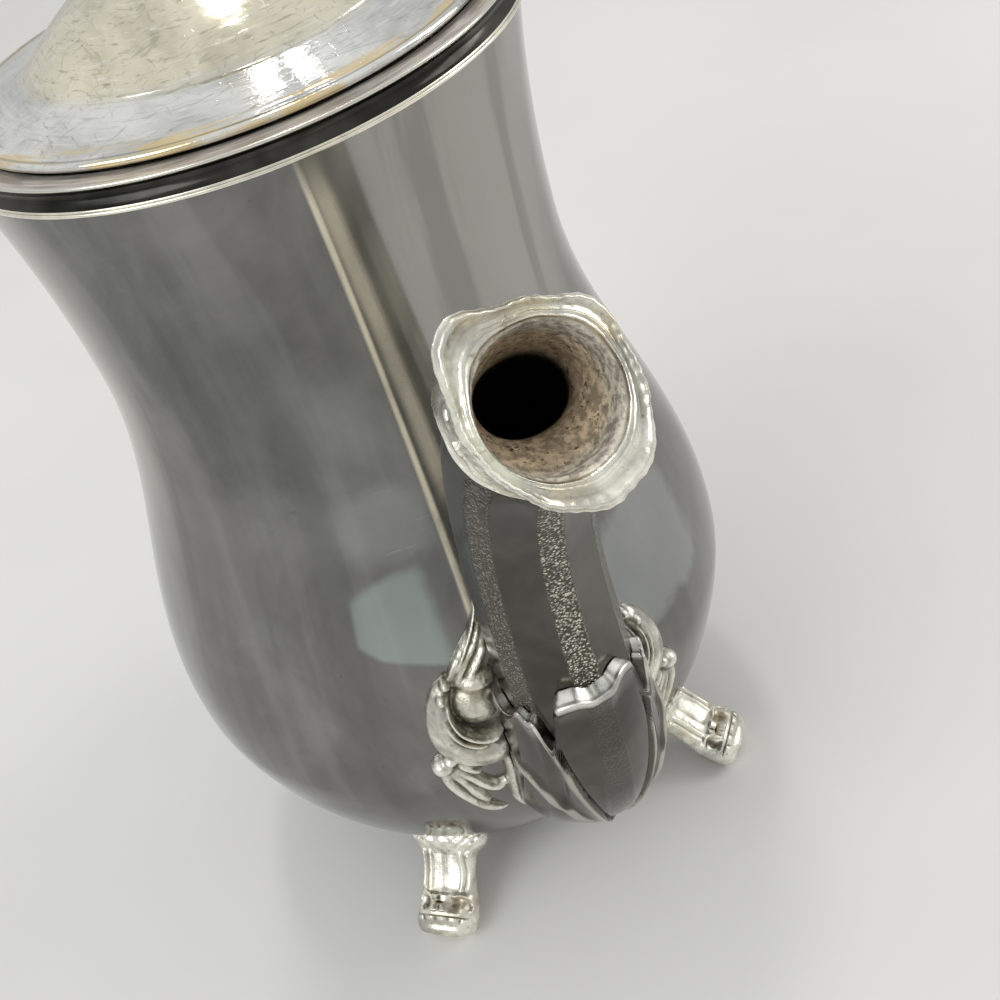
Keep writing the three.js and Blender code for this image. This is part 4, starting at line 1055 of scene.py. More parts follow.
class TEAPOT_OT_sheath(bpy.types.Operator):
    """Sheath of leaves round the spout's foot, whose front leaf has a lip turned outwards"""

    bl_idname = "teapot.sheath"
    bl_label = "Sheath"

    def execute(self, context):
        skins, cutters = sheath_skins(), [body_block()]
        build("sheath", skins, "spout", "spout_sheath", sharp=60, cutters=cutters, recess=16)
        return {"FINISHED"}


# Angle in degrees and radius of the collar's edge
COLLAR_OUTLINE = np.array([
    [-180, 13.6], [-168, 14.6], [-160, 16.2], [-152, 17.2], [-140, 16.8], [-126, 14.2], [-112, 12.9],
    [-103, 12.6], [-82, 12.2], [-60, 12.3], [-39, 13.2], [-22, 14.6], [-9, 15.4], [4, 16.4], [15, 16.4],
    [28, 16.5], [43, 15.7], [59, 14.2], [76, 13.3], [100, 12.9], [116, 14.4], [128, 14.8], [150, 13.3],
    [173, 13.5], [180, 13.6],
])


def collar_skins():
    """Collar: a section for each angle.

    It runs up the bore, over an inner ridge, a recess and an outer ridge to the wavy edge, and back below to
    a skirt on the tube and up inside it.
    """
    angle = np.linspace(-180, 180, 320, endpoint=False)
    edge = np.interp(angle, *COLLAR_OUTLINE.T)
    edge = np.mean([np.roll(edge, k) for k in range(-4, 5)], axis=0)
    edge = edge + 0.06 * np.sin(np.radians(angle) * 46) + 0.1 * np.sin(np.radians(angle) * 11 + 1)
    share = np.linspace(0, 1, 46)[:, None]
    bore_edge = 10.1
    width = edge - bore_edge
    top = (
        0.4 + 1.2 * blend_in(-0.06, 0.2, share)
        + 0.28 * hump(share, 0.15, 0.05) + 0.24 * hump(share, 0.31, 0.045)
        - 0.3 * hump(share, 0.55, 0.12) + 0.3 * hump(share, 0.8, 0.08) - 1.1 * blend_in(0.86, 1, share)
    )
    wave = 0.2 * np.sin(np.radians(angle) * 5 + 0.6) + 0.12 * np.sin(np.radians(angle) * 9 + 2)
    fold = hump(wrapped(angle + 150), 0, 20)
    top = top + (wave + 1.3 * fold) * blend_in(0.35, 0.9, share)
    upper_radius, upper_rise = bore_edge + width * share ** 0.9, top
    under = np.linspace(0, 1, 16)[1:, None]
    waist = 12.4
    lower_radius = waist + (edge - waist) * (1 - under) ** 0.7
    lower_rise = (top[-1] - 0.9) * (1 - under) ** 1.3 - 4.0 * under ** 1.2
    skirt = 7 + 1.2 * np.sin(np.radians(angle) * 4 + 1) + 9.5 * hump(wrapped(angle + 138), 0, 26)
    drop = np.linspace(0, 1, 26)[1:, None]
    skirt_rise = -4.0 - (skirt - 4.0) * drop
    lobe = 0.5 * np.abs(np.sin(np.radians(angle) * 9)) * (1 - drop)
    skirt_radius = waist + lobe - 0.1 * drop + 0.5 * hump(drop, 0.9, 0.08)
    sleeve = np.linspace(0, 1, 8)[:, None]
    sleeve_rise = -skirt + (skirt - 1.45) * sleeve
    sleeve_radius = 11.35 + 0 * angle + 0 * sleeve
    bore = np.linspace(0, 1, 5)[:, None]
    bore_rise = -1.45 + 1.85 * bore + 0 * angle
    bore_radius = 9.92 + 0.18 * bore + 0 * bore_rise
    flat = np.ones((1, 320))
    radius = np.concatenate([bore_radius, upper_radius[1:], lower_radius, skirt_radius, sleeve_radius * flat])
    rise = np.concatenate([bore_rise, upper_rise[1:], lower_rise, skirt_rise, sleeve_rise * flat])
    spread = np.interp(-rise, [4, 18], [0, 1]) * np.where(radius > 11.5, 0.55, 0.4)
    radius = radius + spread * (rise < -4.2)
    x, z, slope_x, slope_z = (row[-1] for row in SPOUT[1:])
    share_at = 1 + rise / SPOUT_LENGTH
    below = spout_point(np.clip(share_at, 0, 1), angle + 0 * rise, radius)
    above = np.stack([slope_x * rise, 0 * rise, slope_z * rise], axis=-1) * (rise > 0)[..., None]
    points = below + above
    points = points + 0.06 * unevenness(points, 3.0, 4)[..., None] * unit(points - np.array([x, 0, z]))
    outside = np.zeros((len(rise) - 50, 1))
    inside = np.concatenate([np.ones((5, 1)), 1 - blend_in(0.02, 0.12, share[1:]), outside])
    return skin(points, along=True, inside=inside, pale=inside)


class TEAPOT_OT_collar(bpy.types.Operator):
    """Cast collar round the spout's mouth, with two ridges, a wavy edge and a folded leaf at one side"""

    bl_idname = "teapot.collar"
    bl_label = "Collar"

    def execute(self, context):
        build("collar", collar_skins(), "cast", "spout_collar", sharp=70, recess=10)
        return {"FINISHED"}


def body_strip(rows, ribs, depth, sides=30, steps=80):
    """Cast strip on the body, with rounded ends and cosine ribs along it.

    An ellipse of half width and height is carried along a smooth path of (angle, height).
    """
    azimuth, height, half, proud = smooth_path(rows, steps).T
    centre, normal = on_body(azimuth, height, -0.8)
    across = unit(np.cross(normal, np.gradient(centre, axis=0)))
    ends = np.sqrt(np.clip(1 - np.linspace(-1, 1, steps) ** 6, 0, 1))
    return swept(
        centre, across, normal, half * ends, (proud + 0.8) * ends, sides,
        lambda a: 1 + depth * np.cos(ribs * np.pi * np.cos(a)) * (np.sin(a) > 0) * np.sin(a),
    )


def body_lump(azimuth, height, half_across, half_up, proud):
    """Rounded lump on the body: an ellipsoid about a point of its skin, square to it."""
    centre, normal = on_body(np.array([azimuth]), np.array([height]))
    across = unit(np.cross((0, 0, 1), normal[0]))
    up = np.cross(normal[0], across)
    rise = np.linspace(-90, 90, 25)[:, None, None]
    turn = np.linspace(0, 360, 36, endpoint=False)[None, :, None]
    ring = cosine(turn) * across * half_across + sine(turn) * up * half_up
    return skin(centre[0] + cosine(rise) * ring + sine(rise) * normal[0] * proud)


# Strips: rows of angle from the spout, height, half width and height over the body, then ribs and their depth
LEAF_STRIPS = [
    ([[18.4, 98.4, 1.2, 1.6], [20.6, 94.6, 2.6, 2.6], [22.0, 89.5, 3.4, 3.4], [21.5, 83.8, 4.6, 3.9],
      [18.6, 79.8, 5.2, 4.1], [14.8, 78.8, 4.6, 4.4], [11.6, 80.4, 3.2, 4.2]], 2, 0.06),
    ([[19.6, 94.8, 0.7, 3.6], [20.3, 90.5, 0.8, 4.2], [19.4, 86.6, 0.9, 4.9],
      [17.2, 84.2, 1.0, 5.4], [14.4, 83.4, 1.0, 5.6], [11.8, 84.4, 0.8, 5.2]], 0, 0),
    ([[20.6, 93.8, 0.6, 3.2], [21.3, 89.8, 0.7, 3.9], [20.4, 85.4, 0.8, 4.6],
      [17.8, 82.5, 0.8, 5.0], [14.4, 81.6, 0.8, 5.2]], 0, 0),
    ([[18.4, 95.0, 2.2, 2.2], [15.6, 98.6, 2.8, 2.1], [12.4, 102.4, 2.8, 1.8],
      [9.6, 106.2, 2.0, 1.3]], 3, 0.2),
    ([[16.0, 95.4, 2.4, 2.5], [13.0, 98.6, 2.8, 2.2], [10.0, 102.2, 2.2, 1.7]], 2, 0.14),
    ([[17.4, 97.8, 0.6, 2.9], [13.8, 102.6, 0.6, 2.6], [10.6, 107.4, 0.5, 1.9],
      [8.4, 112.0, 0.4, 1.4]], 0, 0),
    ([[24.8, 76.6, 1.9, 2.4], [25.0, 71.5, 1.5, 2.2], [23.2, 64.8, 1.3, 1.9],
      [20.8, 58.4, 1.3, 1.7], [17.4, 53.6, 0.9, 1.2]], 0, 0),
    ([[24.2, 75.6, 1.7, 2.2], [22.7, 71.0, 1.3, 2.0], [21.3, 65.1, 1.3, 1.8], [19.9, 59.4, 0.8, 1.2]], 0, 0),
    ([[23.6, 76.0, 1.7, 2.4], [21.2, 72.0, 1.4, 2.2], [19.2, 67.8, 1.4, 2.0],
      [17.2, 66.2, 1.3, 2.0], [15.3, 67.4, 0.9, 1.6]], 0, 0),
    ([[22.4, 77.2, 1.5, 2.6], [20.4, 74.6, 1.3, 2.6], [18.8, 72.2, 0.8, 1.8]], 0, 0),
    ([[14.0, 77.5, 2.2, 3.4], [13.8, 73.0, 1.8, 3.4], [14.4, 67.0, 1.6, 3.2],
      [14.8, 60.0, 1.5, 2.6], [13.2, 53.5, 1.3, 2.0], [10.5, 49.5, 0.8, 1.2]], 0, 0),
]
# Lumps: angle from the spout, height, half size across and up, height over the body
LEAF_LUMPS = [
    (15.3, 90.9, 5.1, 5.4, 4.2), (14.0, 95.4, 4.2, 2.6, 3.9), (25.0, 76.6, 2.5, 2.3, 3.2),
    (23.2, 78.2, 1.9, 1.4, 3.0), (20.7, 93.9, 1.6, 1.8, 3.9), (19.3, 96.6, 1.3, 1.5, 3.2),
]
# For each side how many degrees nearer to the spout and how many millimetres lower it sits
LEAF_SIDES = (("left", 4.2, 6.0), ("right", 0.0, 0.0))


class TEAPOT_OT_leafwork(bpy.types.Operator):
    """Cast leafwork beside the spout: a boss held in a crescent, a tail above and leaf fingers below"""

    bl_idname = "teapot.leafwork"
    bl_label = "Leafwork"

    def execute(self, context):
        share = np.linspace(0, 0.62, 60)[:, None]
        around = np.linspace(0, 360, 64, endpoint=False)[None, :]
        ends = np.where((share == share[0]) | (share == share[-1]), 0, 1)
        filled = 1.9 * np.sin(np.pi * np.clip(share / 0.38, 0, 1) ** 0.6) ** 2
        spout_block = skin(spout_point(share, around, (spout_radius(share) + 1.1 + filled) * ends))
        for side, nearer, lower in LEAF_SIDES:
            moved = (nearer, lower, 0, 0)
            strips = [body_strip(np.array(rows) - moved, ribs, depth) for rows, ribs, depth in LEAF_STRIPS]
            lumps = [body_lump(way - nearer, height - lower, *half) for way, height, *half in LEAF_LUMPS]
            one, block = joined(*strips, *lumps), spout_block
            if side == "right":
                one, block = mirrored(one), mirrored(block)
            leaf = make(f"leafwork_{side}", one)
            fuse(leaf, 0.3, 3)
            cut(leaf, body_block(), block)
            mark_recesses(leaf, 12)
            finish_piece(leaf, "cast", f"spout_leaf_{side}", sharp=70)
        return {"FINISHED"}


# Foot: distance from the pot's axis, height, half thickness and half width
FOOT_LINE = [
    [40, 20.5, 5.1, 10.5], [45.6, 18.9, 3.6, 9.9], [48.5, 17.0, 3.1, 9.9], [51, 14.8, 2.8, 7.4],
    [55, 10.5, 2.85, 7.1], [59.2, 6.4, 3.75, 7.7], [63.4, 4.3, 4.8, 8.0], [66.2, 3.5, 3.45, 7.2],
    [67.4, 2.7, 0.3, 4.6],
]
# Direction of each foot from the pot's axis in degrees
FOOT_CORNERS = {"front_left": 43, "back_left": 137, "back_right": -137, "front_right": -43}
TOE_HALF = 7.6


def foot_relief(run, across):
    """Relief on the front of a foot, in millimetres, for a distance along it and a share across.

    A lumpy band up to the body, side reeds and a middle flute; on the toe a ring and an open arc round
    hollows, four blocks between them, and five lobes over a roll.
    """
    side = across * TOE_HALF
    shank = blend_in(11, 12.5, run) * (1 - blend_in(20.5, 22, run))
    sway = 0.07 * np.sin(run / 2.2)
    reeds = 0.9 * (hump(across, -0.86, 0.1) + hump(across, 0.84 + sway, 0.11))
    reeds = reeds + 0.55 * (hump(across, -0.58, 0.07) + hump(across, 0.56 + sway, 0.07))
    flute = -0.6 * hump(across, -0.02, 0.4) + 0.2 * hump(across, 0.1, 0.05) + 0.2 * hump(across, -0.2, 0.05)
    lumps = 1 + 0.2 * np.cos(across * 17 + 1) * np.cos(run * 2.0) + 0.1 * np.cos(across * 29 + run * 3)
    rim = lumps * np.where(run < 9.3, 1, hump(run, 9.3, 1.5))
    ring = np.hypot((run - 25.2) / 1.35, side + 5.4)
    left = 0.9 * hump(ring, 2.2, 0.6) * (run < 25.2)
    left = left - 1.3 * hump(np.hypot((run - 26) / 1.8, side + 4.9), 0, 1.1)
    ring = np.hypot(run - 25.4, side - 4.1)
    open_part = blend_in(-0.5, 1.4, (side - 4.1) - (run - 25.4))
    right = 0.9 * hump(ring, 3.2, 0.6) * open_part
    right = right - 1.2 * hump(np.hypot(run - 25.2, (side - 2.9) / 0.7), 0, 1.7)
    right = right + 0.7 * hump(np.hypot((run - 26.2) / 1.5, side - 4.8), 0, 1.1)
    between = blend_in(-3.7, -3.1, side) * (1 - blend_in(0.6, 1.1, side))
    between = between * blend_in(21.8, 22.4, run) * (1 - blend_in(27.6, 28.2, run))
    blocks = between * (0.8 - 1.0 * hump(run, 24.9, 0.36) - 0.9 * hump(side, -1.4 + (run - 25) * 0.12, 0.32))
    local = ((across + 1) * 2.5) % 1
    seams = hump(np.minimum(local, 1 - local), 0, 0.1)
    lobes = 0.5 * np.sin(np.pi * local) ** 0.5 + 0.2 - 0.3 * seams
    lobes = lobes * blend_in(28.9, 29.6, run) * (1 - blend_in(30.7, 31.7, run)) + 0.3 * hump(run, 32.6, 0.5)
    return shank * (reeds + flute) + rim + left + right + blocks + lobes - 0.25 * hump(run, 28.8, 0.35)


def foot_skin():
    """Foot: a flat oval section carried along the curve of the leg, its front raised by the relief.

    No point lies below the ground.
    """
    path = smooth_path(FOOT_LINE, 230)
    middle = np.stack([path[:, 0], 0 * path[:, 0], path[:, 1]], axis=-1)
    slope = unit(np.gradient(middle, axis=0))
    out = np.stack([-slope[:, 2], 0 * slope[:, 0], slope[:, 0]], axis=-1)
    run = np.concatenate([[0], np.cumsum(np.linalg.norm(np.diff(middle, axis=0), axis=1))])[:, None]
    a = np.linspace(0, 2 * np.pi, 132, endpoint=False)[None, :]
    across = np.sign(np.cos(a)) * np.abs(np.cos(a)) ** 0.8
    thick, half = path[:, 2:3], path[:, 3:4]
    closing = np.sqrt(np.clip(1 - ((run - run[-1] / 2) / (run[-1] / 2)) ** 60, 0, 1))
    lift = foot_relief(run, across) * blend_in(0, 0.5, np.sin(a)) * blend_in(0, 1.5, run[-1] - run)
    height = (thick * np.sin(a) + lift) * closing
    wide = half * across * closing
    points = middle[:, None] + np.array([0, 1, 0]) * wide[..., None] + out[:, None] * height[..., None]
    points = points + 0.06 * unevenness(points, 2.4, 9)[..., None] * closing[..., None] * out[:, None]
    points[..., 2] = np.maximum(points[..., 2], 0.0)
    rust = 0.6 * hump(np.hypot(run - 25, (across * TOE_HALF - 3.2) / 1.2), 0, 3.2) * (np.sin(a) > 0)
    return skin(points, inside=rust)


class TEAPOT_OT_feet(bpy.types.Operator):
    """Four cast feet: one shape with reeds, volutes and lobes, turned to each corner"""

    bl_idname = "teapot.feet"
    bl_label = "Feet"

    def execute(self, context):
        for corner, angle in FOOT_CORNERS.items():
            one, node, cutters = turn_about_axis(foot_skin(), angle), f"foot_{corner}", [body_block()]
            build(f"leg_{corner}", one, "cast", node, sharp=70, cutters=cutters, recess=10)
        return {"FINISHED"}


# Root of each handle socket, and its angle above the level in degrees
SOCKETS = {"upper": ((-45, 0, 165), 35), "lower": ((-61, 0, 75), 40)}


def socket_axis(end):
    """Root and direction of a handle socket, which points up and back at its angle."""
    root, angle = SOCKETS[end]
    return np.array(root, float), np.array([-cosine(angle), 0, sine(angle)])


def pin_skin(end, distance, radius, half_length):
    """Rod across a socket's axis at a distance along it, with slightly domed ends."""
    root, along = socket_axis(end)
    section = [
        [0, -half_length], [radius * 0.7, -half_length + 0.06], [radius, -half_length + 0.3],
        [radius, half_length - 0.3], [radius * 0.7, half_length - 0.06], [0, half_length],
    ]
    return turned(np.array(section), 24, root + along * distance, (0, 1, 0), closed=False)


def pin_drill(end, distance):
    """Cutter for a pin's hole."""
    return pin_skin(end, distance, DRILL_RADIUS, DRILL_HALF)


def grip_line(steps):
    """Centre line of the grip: two Bezier curves that meet behind the pot, at even distances."""
    upper_root, upper_way = socket_axis("upper")
    lower_root, lower_way = socket_axis("lower")
    start, end = upper_root + upper_way * GRIP_START, lower_root + lower_way * GRIP_START
    middle, up = np.array([-108.0, 0, 152]), np.array([0, 0, 1.0])
    reach = start[0] - middle[0]
    t = np.linspace(0, 1, 300)
    first = [start, start + upper_way * reach * 0.5, middle + up * (start[2] - middle[2]) * 1.302, middle]
    pull = (middle[2] - end[2]) * 0.42
    second = [middle, middle - up * pull, end + lower_way * pull, end]
    return evenly(np.concatenate([cubic(first, t), cubic(second, t)[1:]]), steps)


class TEAPOT_OT_handle(bpy.types.Operator):
    """Handle: sockets, insulators, cross pins, and a grip with a leaf for the thumb"""

    bl_idname = "teapot.handle"
    bl_label = "Handle"

    def execute(self, context):
        self.grip(context.scene.teapot_sizes.grip_radius / MM)
        for end in SOCKETS:
            self.socket(end)
            self.insulator(end)
            for kind, distance in (("socket", SOCKET_PIN), ("grip", GRIP_PIN)):
                pin = pin_skin(end, distance, PIN_RADIUS, PIN_HALF)
                build(f"{end}_{kind}_pin", pin, "steel", f"handle_{end}_{kind}_pin")
        return {"FINISHED"}

    def socket(self, end):
        """Cup, bored for the tenon: radius from 9 to 6.3 by a quarter sine, with beads near its mouth."""
        root, along = socket_axis(end)
        t = np.linspace(0, 1, 70)
        beads = 0.7 * hump(t, 0.9, 0.035) + 0.35 * hump(t, 0.8, 0.025) - 0.25 * hump(t, 0.85, 0.02)
        outer = np.stack([9 - 2.7 * np.sin(np.pi / 2 * t) + beads, SOCKET_DEPTH * t], axis=-1)
        mouth = rounded([[6.3, 17.6], [6.3, 18], [3.3, 18], [3.3, 12.1], [0.6, 12.1]], 0.3, closed=False)
        section = np.concatenate([[[0, 0]], outer[:-2], mouth[1:], [[0, 12.1]]])
        cup, node = turned(section, 72, root, along, closed=False), f"handle_{end}_socket"
        cutters = [body_block(), pin_drill(end, SOCKET_PIN)]
        build(f"{end}_socket", cup, "cast", node, cutters=cutters, recess=10)

    def insulator(self, end):
        """Disc with a rounded edge and a tenon on each face, cross-drilled."""
        root, along = socket_axis(end)
        corners = [[0, -7.1], [3, -7.1], [3, -1.5], [6.4, -1.5], [6.4, 1.5], [3, 1.5], [3, 7.1], [0, 7.1]]
        half = rounded(corners, 0.5, closed=False)
        disc = turned(half, 64, root + along * DISC_MIDDLE, along, closed=False)
        cutters = [pin_drill(end, SOCKET_PIN), pin_drill(end, GRIP_PIN)]
        build(f"{end}_insulator", disc, "resin", f"handle_{end}_insulator", cutters=cutters)

    def grip(self, thick):
        """Bar, thinner in the middle, with beads near its ends, a ribbed leaf for the thumb and a scroll."""
        line = grip_line(240)
        slope = unit(np.gradient(line, axis=0))
        out = np.stack([slope[:, 2], 0 * slope[:, 0], -slope[:, 0]], axis=-1)
        share = np.linspace(0, 1, 240)[:, None]
        a = np.linspace(0, 2 * np.pi, 60, endpoint=False)[None, :]
        radius = thick * (1 - 0.16 * np.sin(np.pi * share) ** 2)
        beads = ((0.03, 0.008), (0.05, 0.006), (0.97, 0.008), (0.95, 0.006))
        radius = radius + 0.45 * sum(hump(share, middle, width) for middle, width in beads)
        leaf = hump(share, 0.3, 0.075) ** 2 * np.clip(np.cos(a), 0, 1) ** 0.7
        radius = radius + leaf * (2.6 + 0.3 * np.cos(7 * a) + 0.2 * np.cos(share * 240))
        scroll = hump(share, 0.62, 0.03) * np.clip(-np.cos(a), 0, 1) ** 2
        radius = radius + 1.4 * scroll
        way = np.cos(a)[..., None] * out[:, None] + np.sin(a)[..., None] * np.array([0, 1, 0])
        points = line[:, None] + radius[..., None] * way
        caps = [line[:1, None] + 0 * points[:1], points, line[-1:, None] + 0 * points[:1]]
        bore, cutters = np.array([[0, -6], [3.3, -6], [3.3, 5.9], [0, 5.9]]), []
        for end in SOCKETS:
            root, along = socket_axis(end)
            cutters.append(turned(bore, 32, root + along * GRIP_START, along, closed=False))
            cutters.append(pin_drill(end, GRIP_PIN))
        bar = skin(np.concatenate(caps))
        build("grip", bar, "raised", "handle_grip", sharp=50, cutters=cutters, recess=10)


class TEAPOT_OT_lid(bpy.types.Operator):
    """Lid: rolled edge, shallow slope, step and dome as one turned section, and the bezel ring under it"""

    bl_idname = "teapot.lid"
    bl_label = "Lid and bezel"

    def execute(self, context):
        radius = context.scene.teapot_sizes.lid_radius / MM
        share = np.linspace(1, FINIAL_BORE / DOME_RADIUS, 70)[:, None]
        dome = np.concatenate([DOME_RADIUS * share, DOME_HEIGHT + 14.1 * (1 - share**1.9)], axis=1)
        slope = np.linspace(0, 1, 16)[:, None]
        run = np.concatenate([radius - 2.1 - (radius - 37.8) * slope, 208.55 + 2.95 * slope ** 1.1], axis=1)
        edge = np.concatenate([
            arc(radius - 0.72, 207.72, 0.72, -85, 118, 18),
            [[radius - 1.55, 208.32], [radius - 1.8, 208.38]],
            run,
            [[35.45, 211.45], [35.3, 211.55], [35.15, 211.75]],
            dome,
        ])
        under = offset(np.concatenate([run[6:], dome]), -1.0)[::-1]
        under = np.concatenate([[[FINIAL_BORE, 225.0]], under[1:], [[45.7, 208.0], [45.7, 207.0]]])
        lid = turned(np.concatenate([edge, under]), 192)
        build("lid", lid, "lid", "lid_dome", "lid", recess=5)
        ring = rounded([[45.7, 199.7], [46.9, 199.7], [46.9, 206.7], [45.7, 206.7]], 0.35)
        build("bezel", turned(ring, 160), "raised", "lid_bezel", "lid")
        return {"FINISHED"}


def softened_copy(node, name):
    """A merged copy of a node's shape whose edges are rounded by a fine remesh."""
    work = bmesh.new()
    work.from_mesh(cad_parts[node].data)
    bmesh.ops.remove_doubles(work, verts=work.verts, dist=2e-6)
    mesh = bpy.data.meshes.new(name)
    work.to_mesh(mesh)
    work.free()
    copy = place(name, mesh)
    fuse(copy, 0.22, 4)
    mark_recesses(copy, 8)
    return copy


class TEAPOT_OT_hinge(bpy.types.Operator):
    """Hinge: bracket on the neck, leaf on the lid and the pin through both"""

    bl_idname = "teapot.hinge"
    bl_label = "Hinge"

    def execute(self, context):
        for node, name, body in (("hinge_bracket", "bracket", "pot"), ("hinge_leaf", "lid_leaf", "lid")):
            finish_piece(softened_copy(node, name), "cast", node, body, sharp=50)
        half = np.array([[0, -9.3], [0.9, -9.25], [1.2, -8.95]])
        rod = np.concatenate([half, half[::-1] * (1, -1)])
        pin = turned(rod, 32, HINGE_MIDDLE, (0, 1, 0), closed=False)
        build("pivot", pin, "steel", "hinge_pin")
        return {"FINISHED"}


# Knob: its radius and height, and its section from below in shares of these
KNOB_SIZE = np.array([9.6, 19])
KNOB_SHARES = [
    [0.2, 0], [0.56, 0], [0.5, 0.04], [0.4, 0.1], [0.42, 0.2], [0.62, 0.26], [0.86, 0.36], [0.99, 0.46],
    [1, 0.54], [0.93, 0.65], [0.74, 0.75], [0.5, 0.81], [0.3, 0.83], [0.22, 0.86], [0.25, 0.9], [0.24, 0.95],
    [0.14, 0.99], [0.0, 1],
]


class TEAPOT_OT_finial(bpy.types.Operator):
    """Finial: stepped base, insulating washer, fluted knob, and the screw and nut that hold them"""

    bl_idname = "teapot.finial"
    bl_label = "Finial"

    def execute(self, context):
        bore, screw_top, low = FINIAL_BORE, 239.5, 231.5
        base = rounded([
            [bore, 225.9], [2.4, 226.3], [9, 226.3], [9, 227.2],
            [7.4, 227.7], [7.0, 228.5], [5.8, 229.3], [bore, 229.3],
        ], 0.4)
        washer = rounded([[bore, 229.6], [6.2, 229.6], [6.2, 231.2], [bore, 231.2]], 0.5)
        knob = smooth_path(np.array(KNOB_SHARES) * KNOB_SIZE + np.array([0, low]), 150)
        knob[:, 0] = np.clip(knob[:, 0], 0, None)
        knob[0], knob[-1] = [1.95, low], [0, low + KNOB_SIZE[1]]
        hole = np.array([[0, screw_top], [bore, screw_top], [bore, low]])

        def flutes(a, height, radius):
            return radius * (1 + 0.045 * np.abs(np.cos(8 * a)) * hump(height, low + 9.4, 4.2))

        thread = np.linspace(0, 1, 90)
        wavy = np.stack([1.5 - 0.12 * (1 + np.cos(thread * 2 * np.pi * 18)), 221.2 + 18.2 * thread], axis=-1)
        screw = np.concatenate([[[0, 221.1]], wavy, [[0, screw_top]]])
        nut = np.array([[1.55, 221.4], [3.7, 221.4], [4.1, 221.7], [4.1, 224.1], [3.7, 224.4], [1.55, 224.4]])

        def six_sided(a, height, radius):
            face = np.cos(np.pi / 6) / np.cos((a + np.pi / 6) % (np.pi / 3) - np.pi / 6)
            return np.where(radius > 2, radius * face, radius + 0 * a)

        fluted = turned(np.concatenate([hole, knob]), 144, closed=False, swell=flutes)
        for name, one, finish, slot in (
            ("base", turned(base, 96), "cast", "cast_silver"),
            ("washer", turned(washer, 72), "resin", "insulator"),
            ("knob", fluted, "cast", "cast_silver"),
            ("screw", turned(screw, 32, closed=False), "steel", "steel"),
            ("nut", turned(nut, 72, swell=six_sided), "steel", "steel"),
        ):
            build(f"finial_{name}_turned", one, finish, f"finial_{name}", "lid", sharp=40, recess=6)
        return {"FINISHED"}


def standing(turn, middle):
    """The matrix of a turn and a place."""
    return Matrix(np.block([[turn, middle[:, None]], [0, 0, 0, 1]]))


def area_lamp(name, azimuth, elevation, distance, size, power, tone, height=None):
    """Soft lamp at a direction and distance from the pot's middle, facing it."""
    data = bpy.data.lights.new(name, "AREA")
    data.shape = "RECTANGLE"
    data.size, data.size_y = size, height or size
    data.energy = power
    data.color = tone
    lamp = bpy.data.objects.new(name, data)
    bpy.context.scene.collection.objects.link(lamp)
    away = np.array([cosine(azimuth) * cosine(elevation), sine(azimuth) * cosine(elevation), sine(elevation)])
    side = unit(np.cross((0, 0, 1), away))
    up = np.cross(away, side)
    lamp.matrix_world = standing(np.stack([side, up, away], axis=-1), away * distance + (0, 0, 0.1))


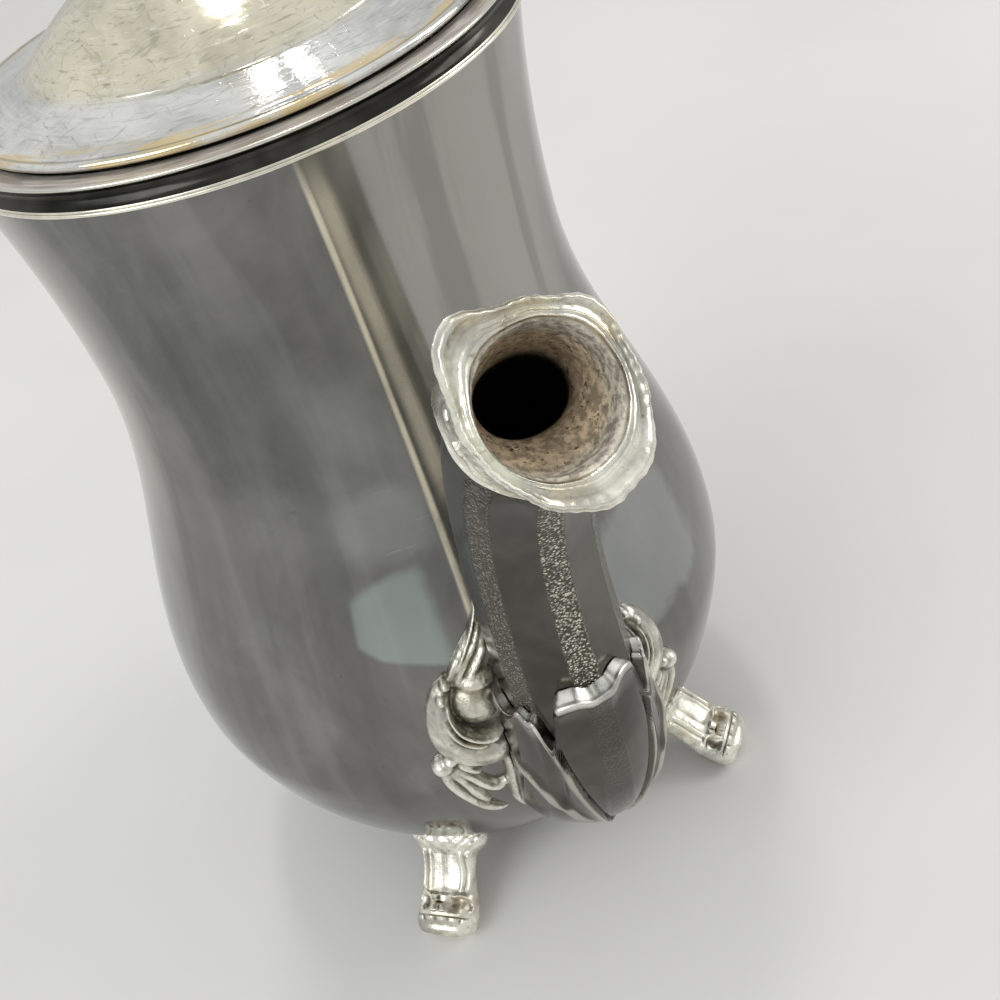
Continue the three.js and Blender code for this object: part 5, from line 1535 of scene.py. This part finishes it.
class TEAPOT_OT_stage(bpy.types.Operator):
    """Plain pale floor, soft lamps, world light and the camera"""

    bl_idname = "teapot.stage"
    bl_label = "Stage"

    def execute(self, context):
        self.floor()
        self.world()
        warm = (1, 0.98, 0.94)
        area_lamp("key_left", 165, 55.5, 1.3, 0.055, 0.22, warm, 0.022)
        area_lamp("key_right", 157.5, 54, 1.3, 0.055, 0.22, warm, 0.022)
        area_lamp("top", 160, 75, 1.3, 0.12, 2.0, warm)
        area_lamp("fill_window", -70, 38, 1.5, 0.9, 7, (0.96, 0.98, 1))
        area_lamp("side_window", 75, 30, 1.4, 0.5, 5, (1, 0.98, 0.95), 0.9)
        self.camera()
        context.scene.view_settings.view_transform = "Standard"
        return {"FINISHED"}

    def floor(self):
        """Flat square grid, far wider than the pot, with a faint unevenness of colour."""
        reach = np.linspace(-15000, 15000, 21)
        x, y = np.meshgrid(reach, reach)
        sheet = make("floor", skin(np.stack([x, y, 0 * x], axis=-1), around=False))
        finish = Finish("floor_paint")
        base = colours()["floor"]
        colour = finish.mix(finish.cloud(0.3, 0.7, 6), shade(base, 0.97), shade(base, 1.02))
        finish.shader(colour, 0.6, None, metallic=0.0)
        sheet.data.materials.append(finish.material)

    def world(self):
        """Even pale light: a gradient a little darker near the ground."""
        world = bpy.data.worlds.new("studio")
        bpy.context.scene.world = world
        world.use_nodes = True
        nodes, links = world.node_tree.nodes, world.node_tree.links
        background = nodes["Background"]
        way = nodes.new("ShaderNodeTexCoord")
        split = nodes.new("ShaderNodeSeparateXYZ")
        ramp = nodes.new("ShaderNodeValToRGB")
        ramp.color_ramp.elements[0].color = (0.62, 0.62, 0.61, 1)
        ramp.color_ramp.elements[1].color = (0.81, 0.81, 0.8, 1)
        ramp.color_ramp.elements[1].position = 0.7
        links.new(way.outputs["Generated"], split.inputs[0])
        links.new(split.outputs[2], ramp.inputs[0])
        links.new(ramp.outputs[0], background.inputs["Color"])
        background.inputs["Strength"].default_value = 0.9

    def camera(self):
        """Camera of the photograph's view: looks from its place to a target and is rolled about that line."""
        place_at, target = np.array([218.66, -43.06, 272.77]), np.array([-19.141, 24.602, 60.0])
        roll = 0.33768
        forward = unit(target - place_at)
        level = unit(np.cross(forward, (0, 0, 1)))
        down = np.cross(forward, level)
        right = np.cos(roll) * level + np.sin(roll) * down
        low = -np.sin(roll) * level + np.cos(roll) * down
        data = bpy.data.cameras.new("view")
        data.sensor_width, data.lens, data.clip_start = 36, 42.8308, 0.01
        camera = bpy.data.objects.new("view", data)
        bpy.context.scene.collection.objects.link(camera)
        turn = np.stack([right, -low, -forward], axis=-1)
        camera.matrix_world = standing(turn, place_at * MM + AXIS)
        bpy.context.scene.camera = camera


OPERATORS = [
    TEAPOT_OT_stage, TEAPOT_OT_body, TEAPOT_OT_base_plate, TEAPOT_OT_rim, TEAPOT_OT_spout, TEAPOT_OT_sheath,
    TEAPOT_OT_collar, TEAPOT_OT_leafwork, TEAPOT_OT_feet, TEAPOT_OT_handle, TEAPOT_OT_lid, TEAPOT_OT_hinge,
    TEAPOT_OT_finial,
]


class TEAPOT_PT_pieces(bpy.types.Panel):
    """Sizes, colours and one button for each piece"""

    bl_idname = "TEAPOT_PT_pieces"
    bl_label = "Footed teapot"
    bl_space_type = "VIEW_3D"
    bl_region_type = "UI"
    bl_category = "Teapot"

    def draw(self, context):
        for group in (context.scene.teapot_sizes, context.scene.teapot_colours):
            box = self.layout.box()
            for key in group.__annotations__:
                box.prop(group, key)
        for operator in OPERATORS:
            self.layout.operator(operator.bl_idname)


CLASSES = [TeapotSizes, TeapotColours, *OPERATORS, TEAPOT_PT_pieces]


def register():
    for one in CLASSES:
        bpy.utils.register_class(one)
    bpy.types.Scene.teapot_sizes = bpy.props.PointerProperty(type=TeapotSizes)
    bpy.types.Scene.teapot_colours = bpy.props.PointerProperty(type=TeapotColours)


def unregister():
    del bpy.types.Scene.teapot_colours
    del bpy.types.Scene.teapot_sizes
    for one in reversed(CLASSES):
        bpy.utils.unregister_class(one)


def main():
    """Registers the classes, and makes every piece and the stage."""
    register()
    for operator in OPERATORS:
        group, name = operator.bl_idname.split(".")
        getattr(getattr(bpy.ops, group), name)()


if __name__ == "__main__":
    main()
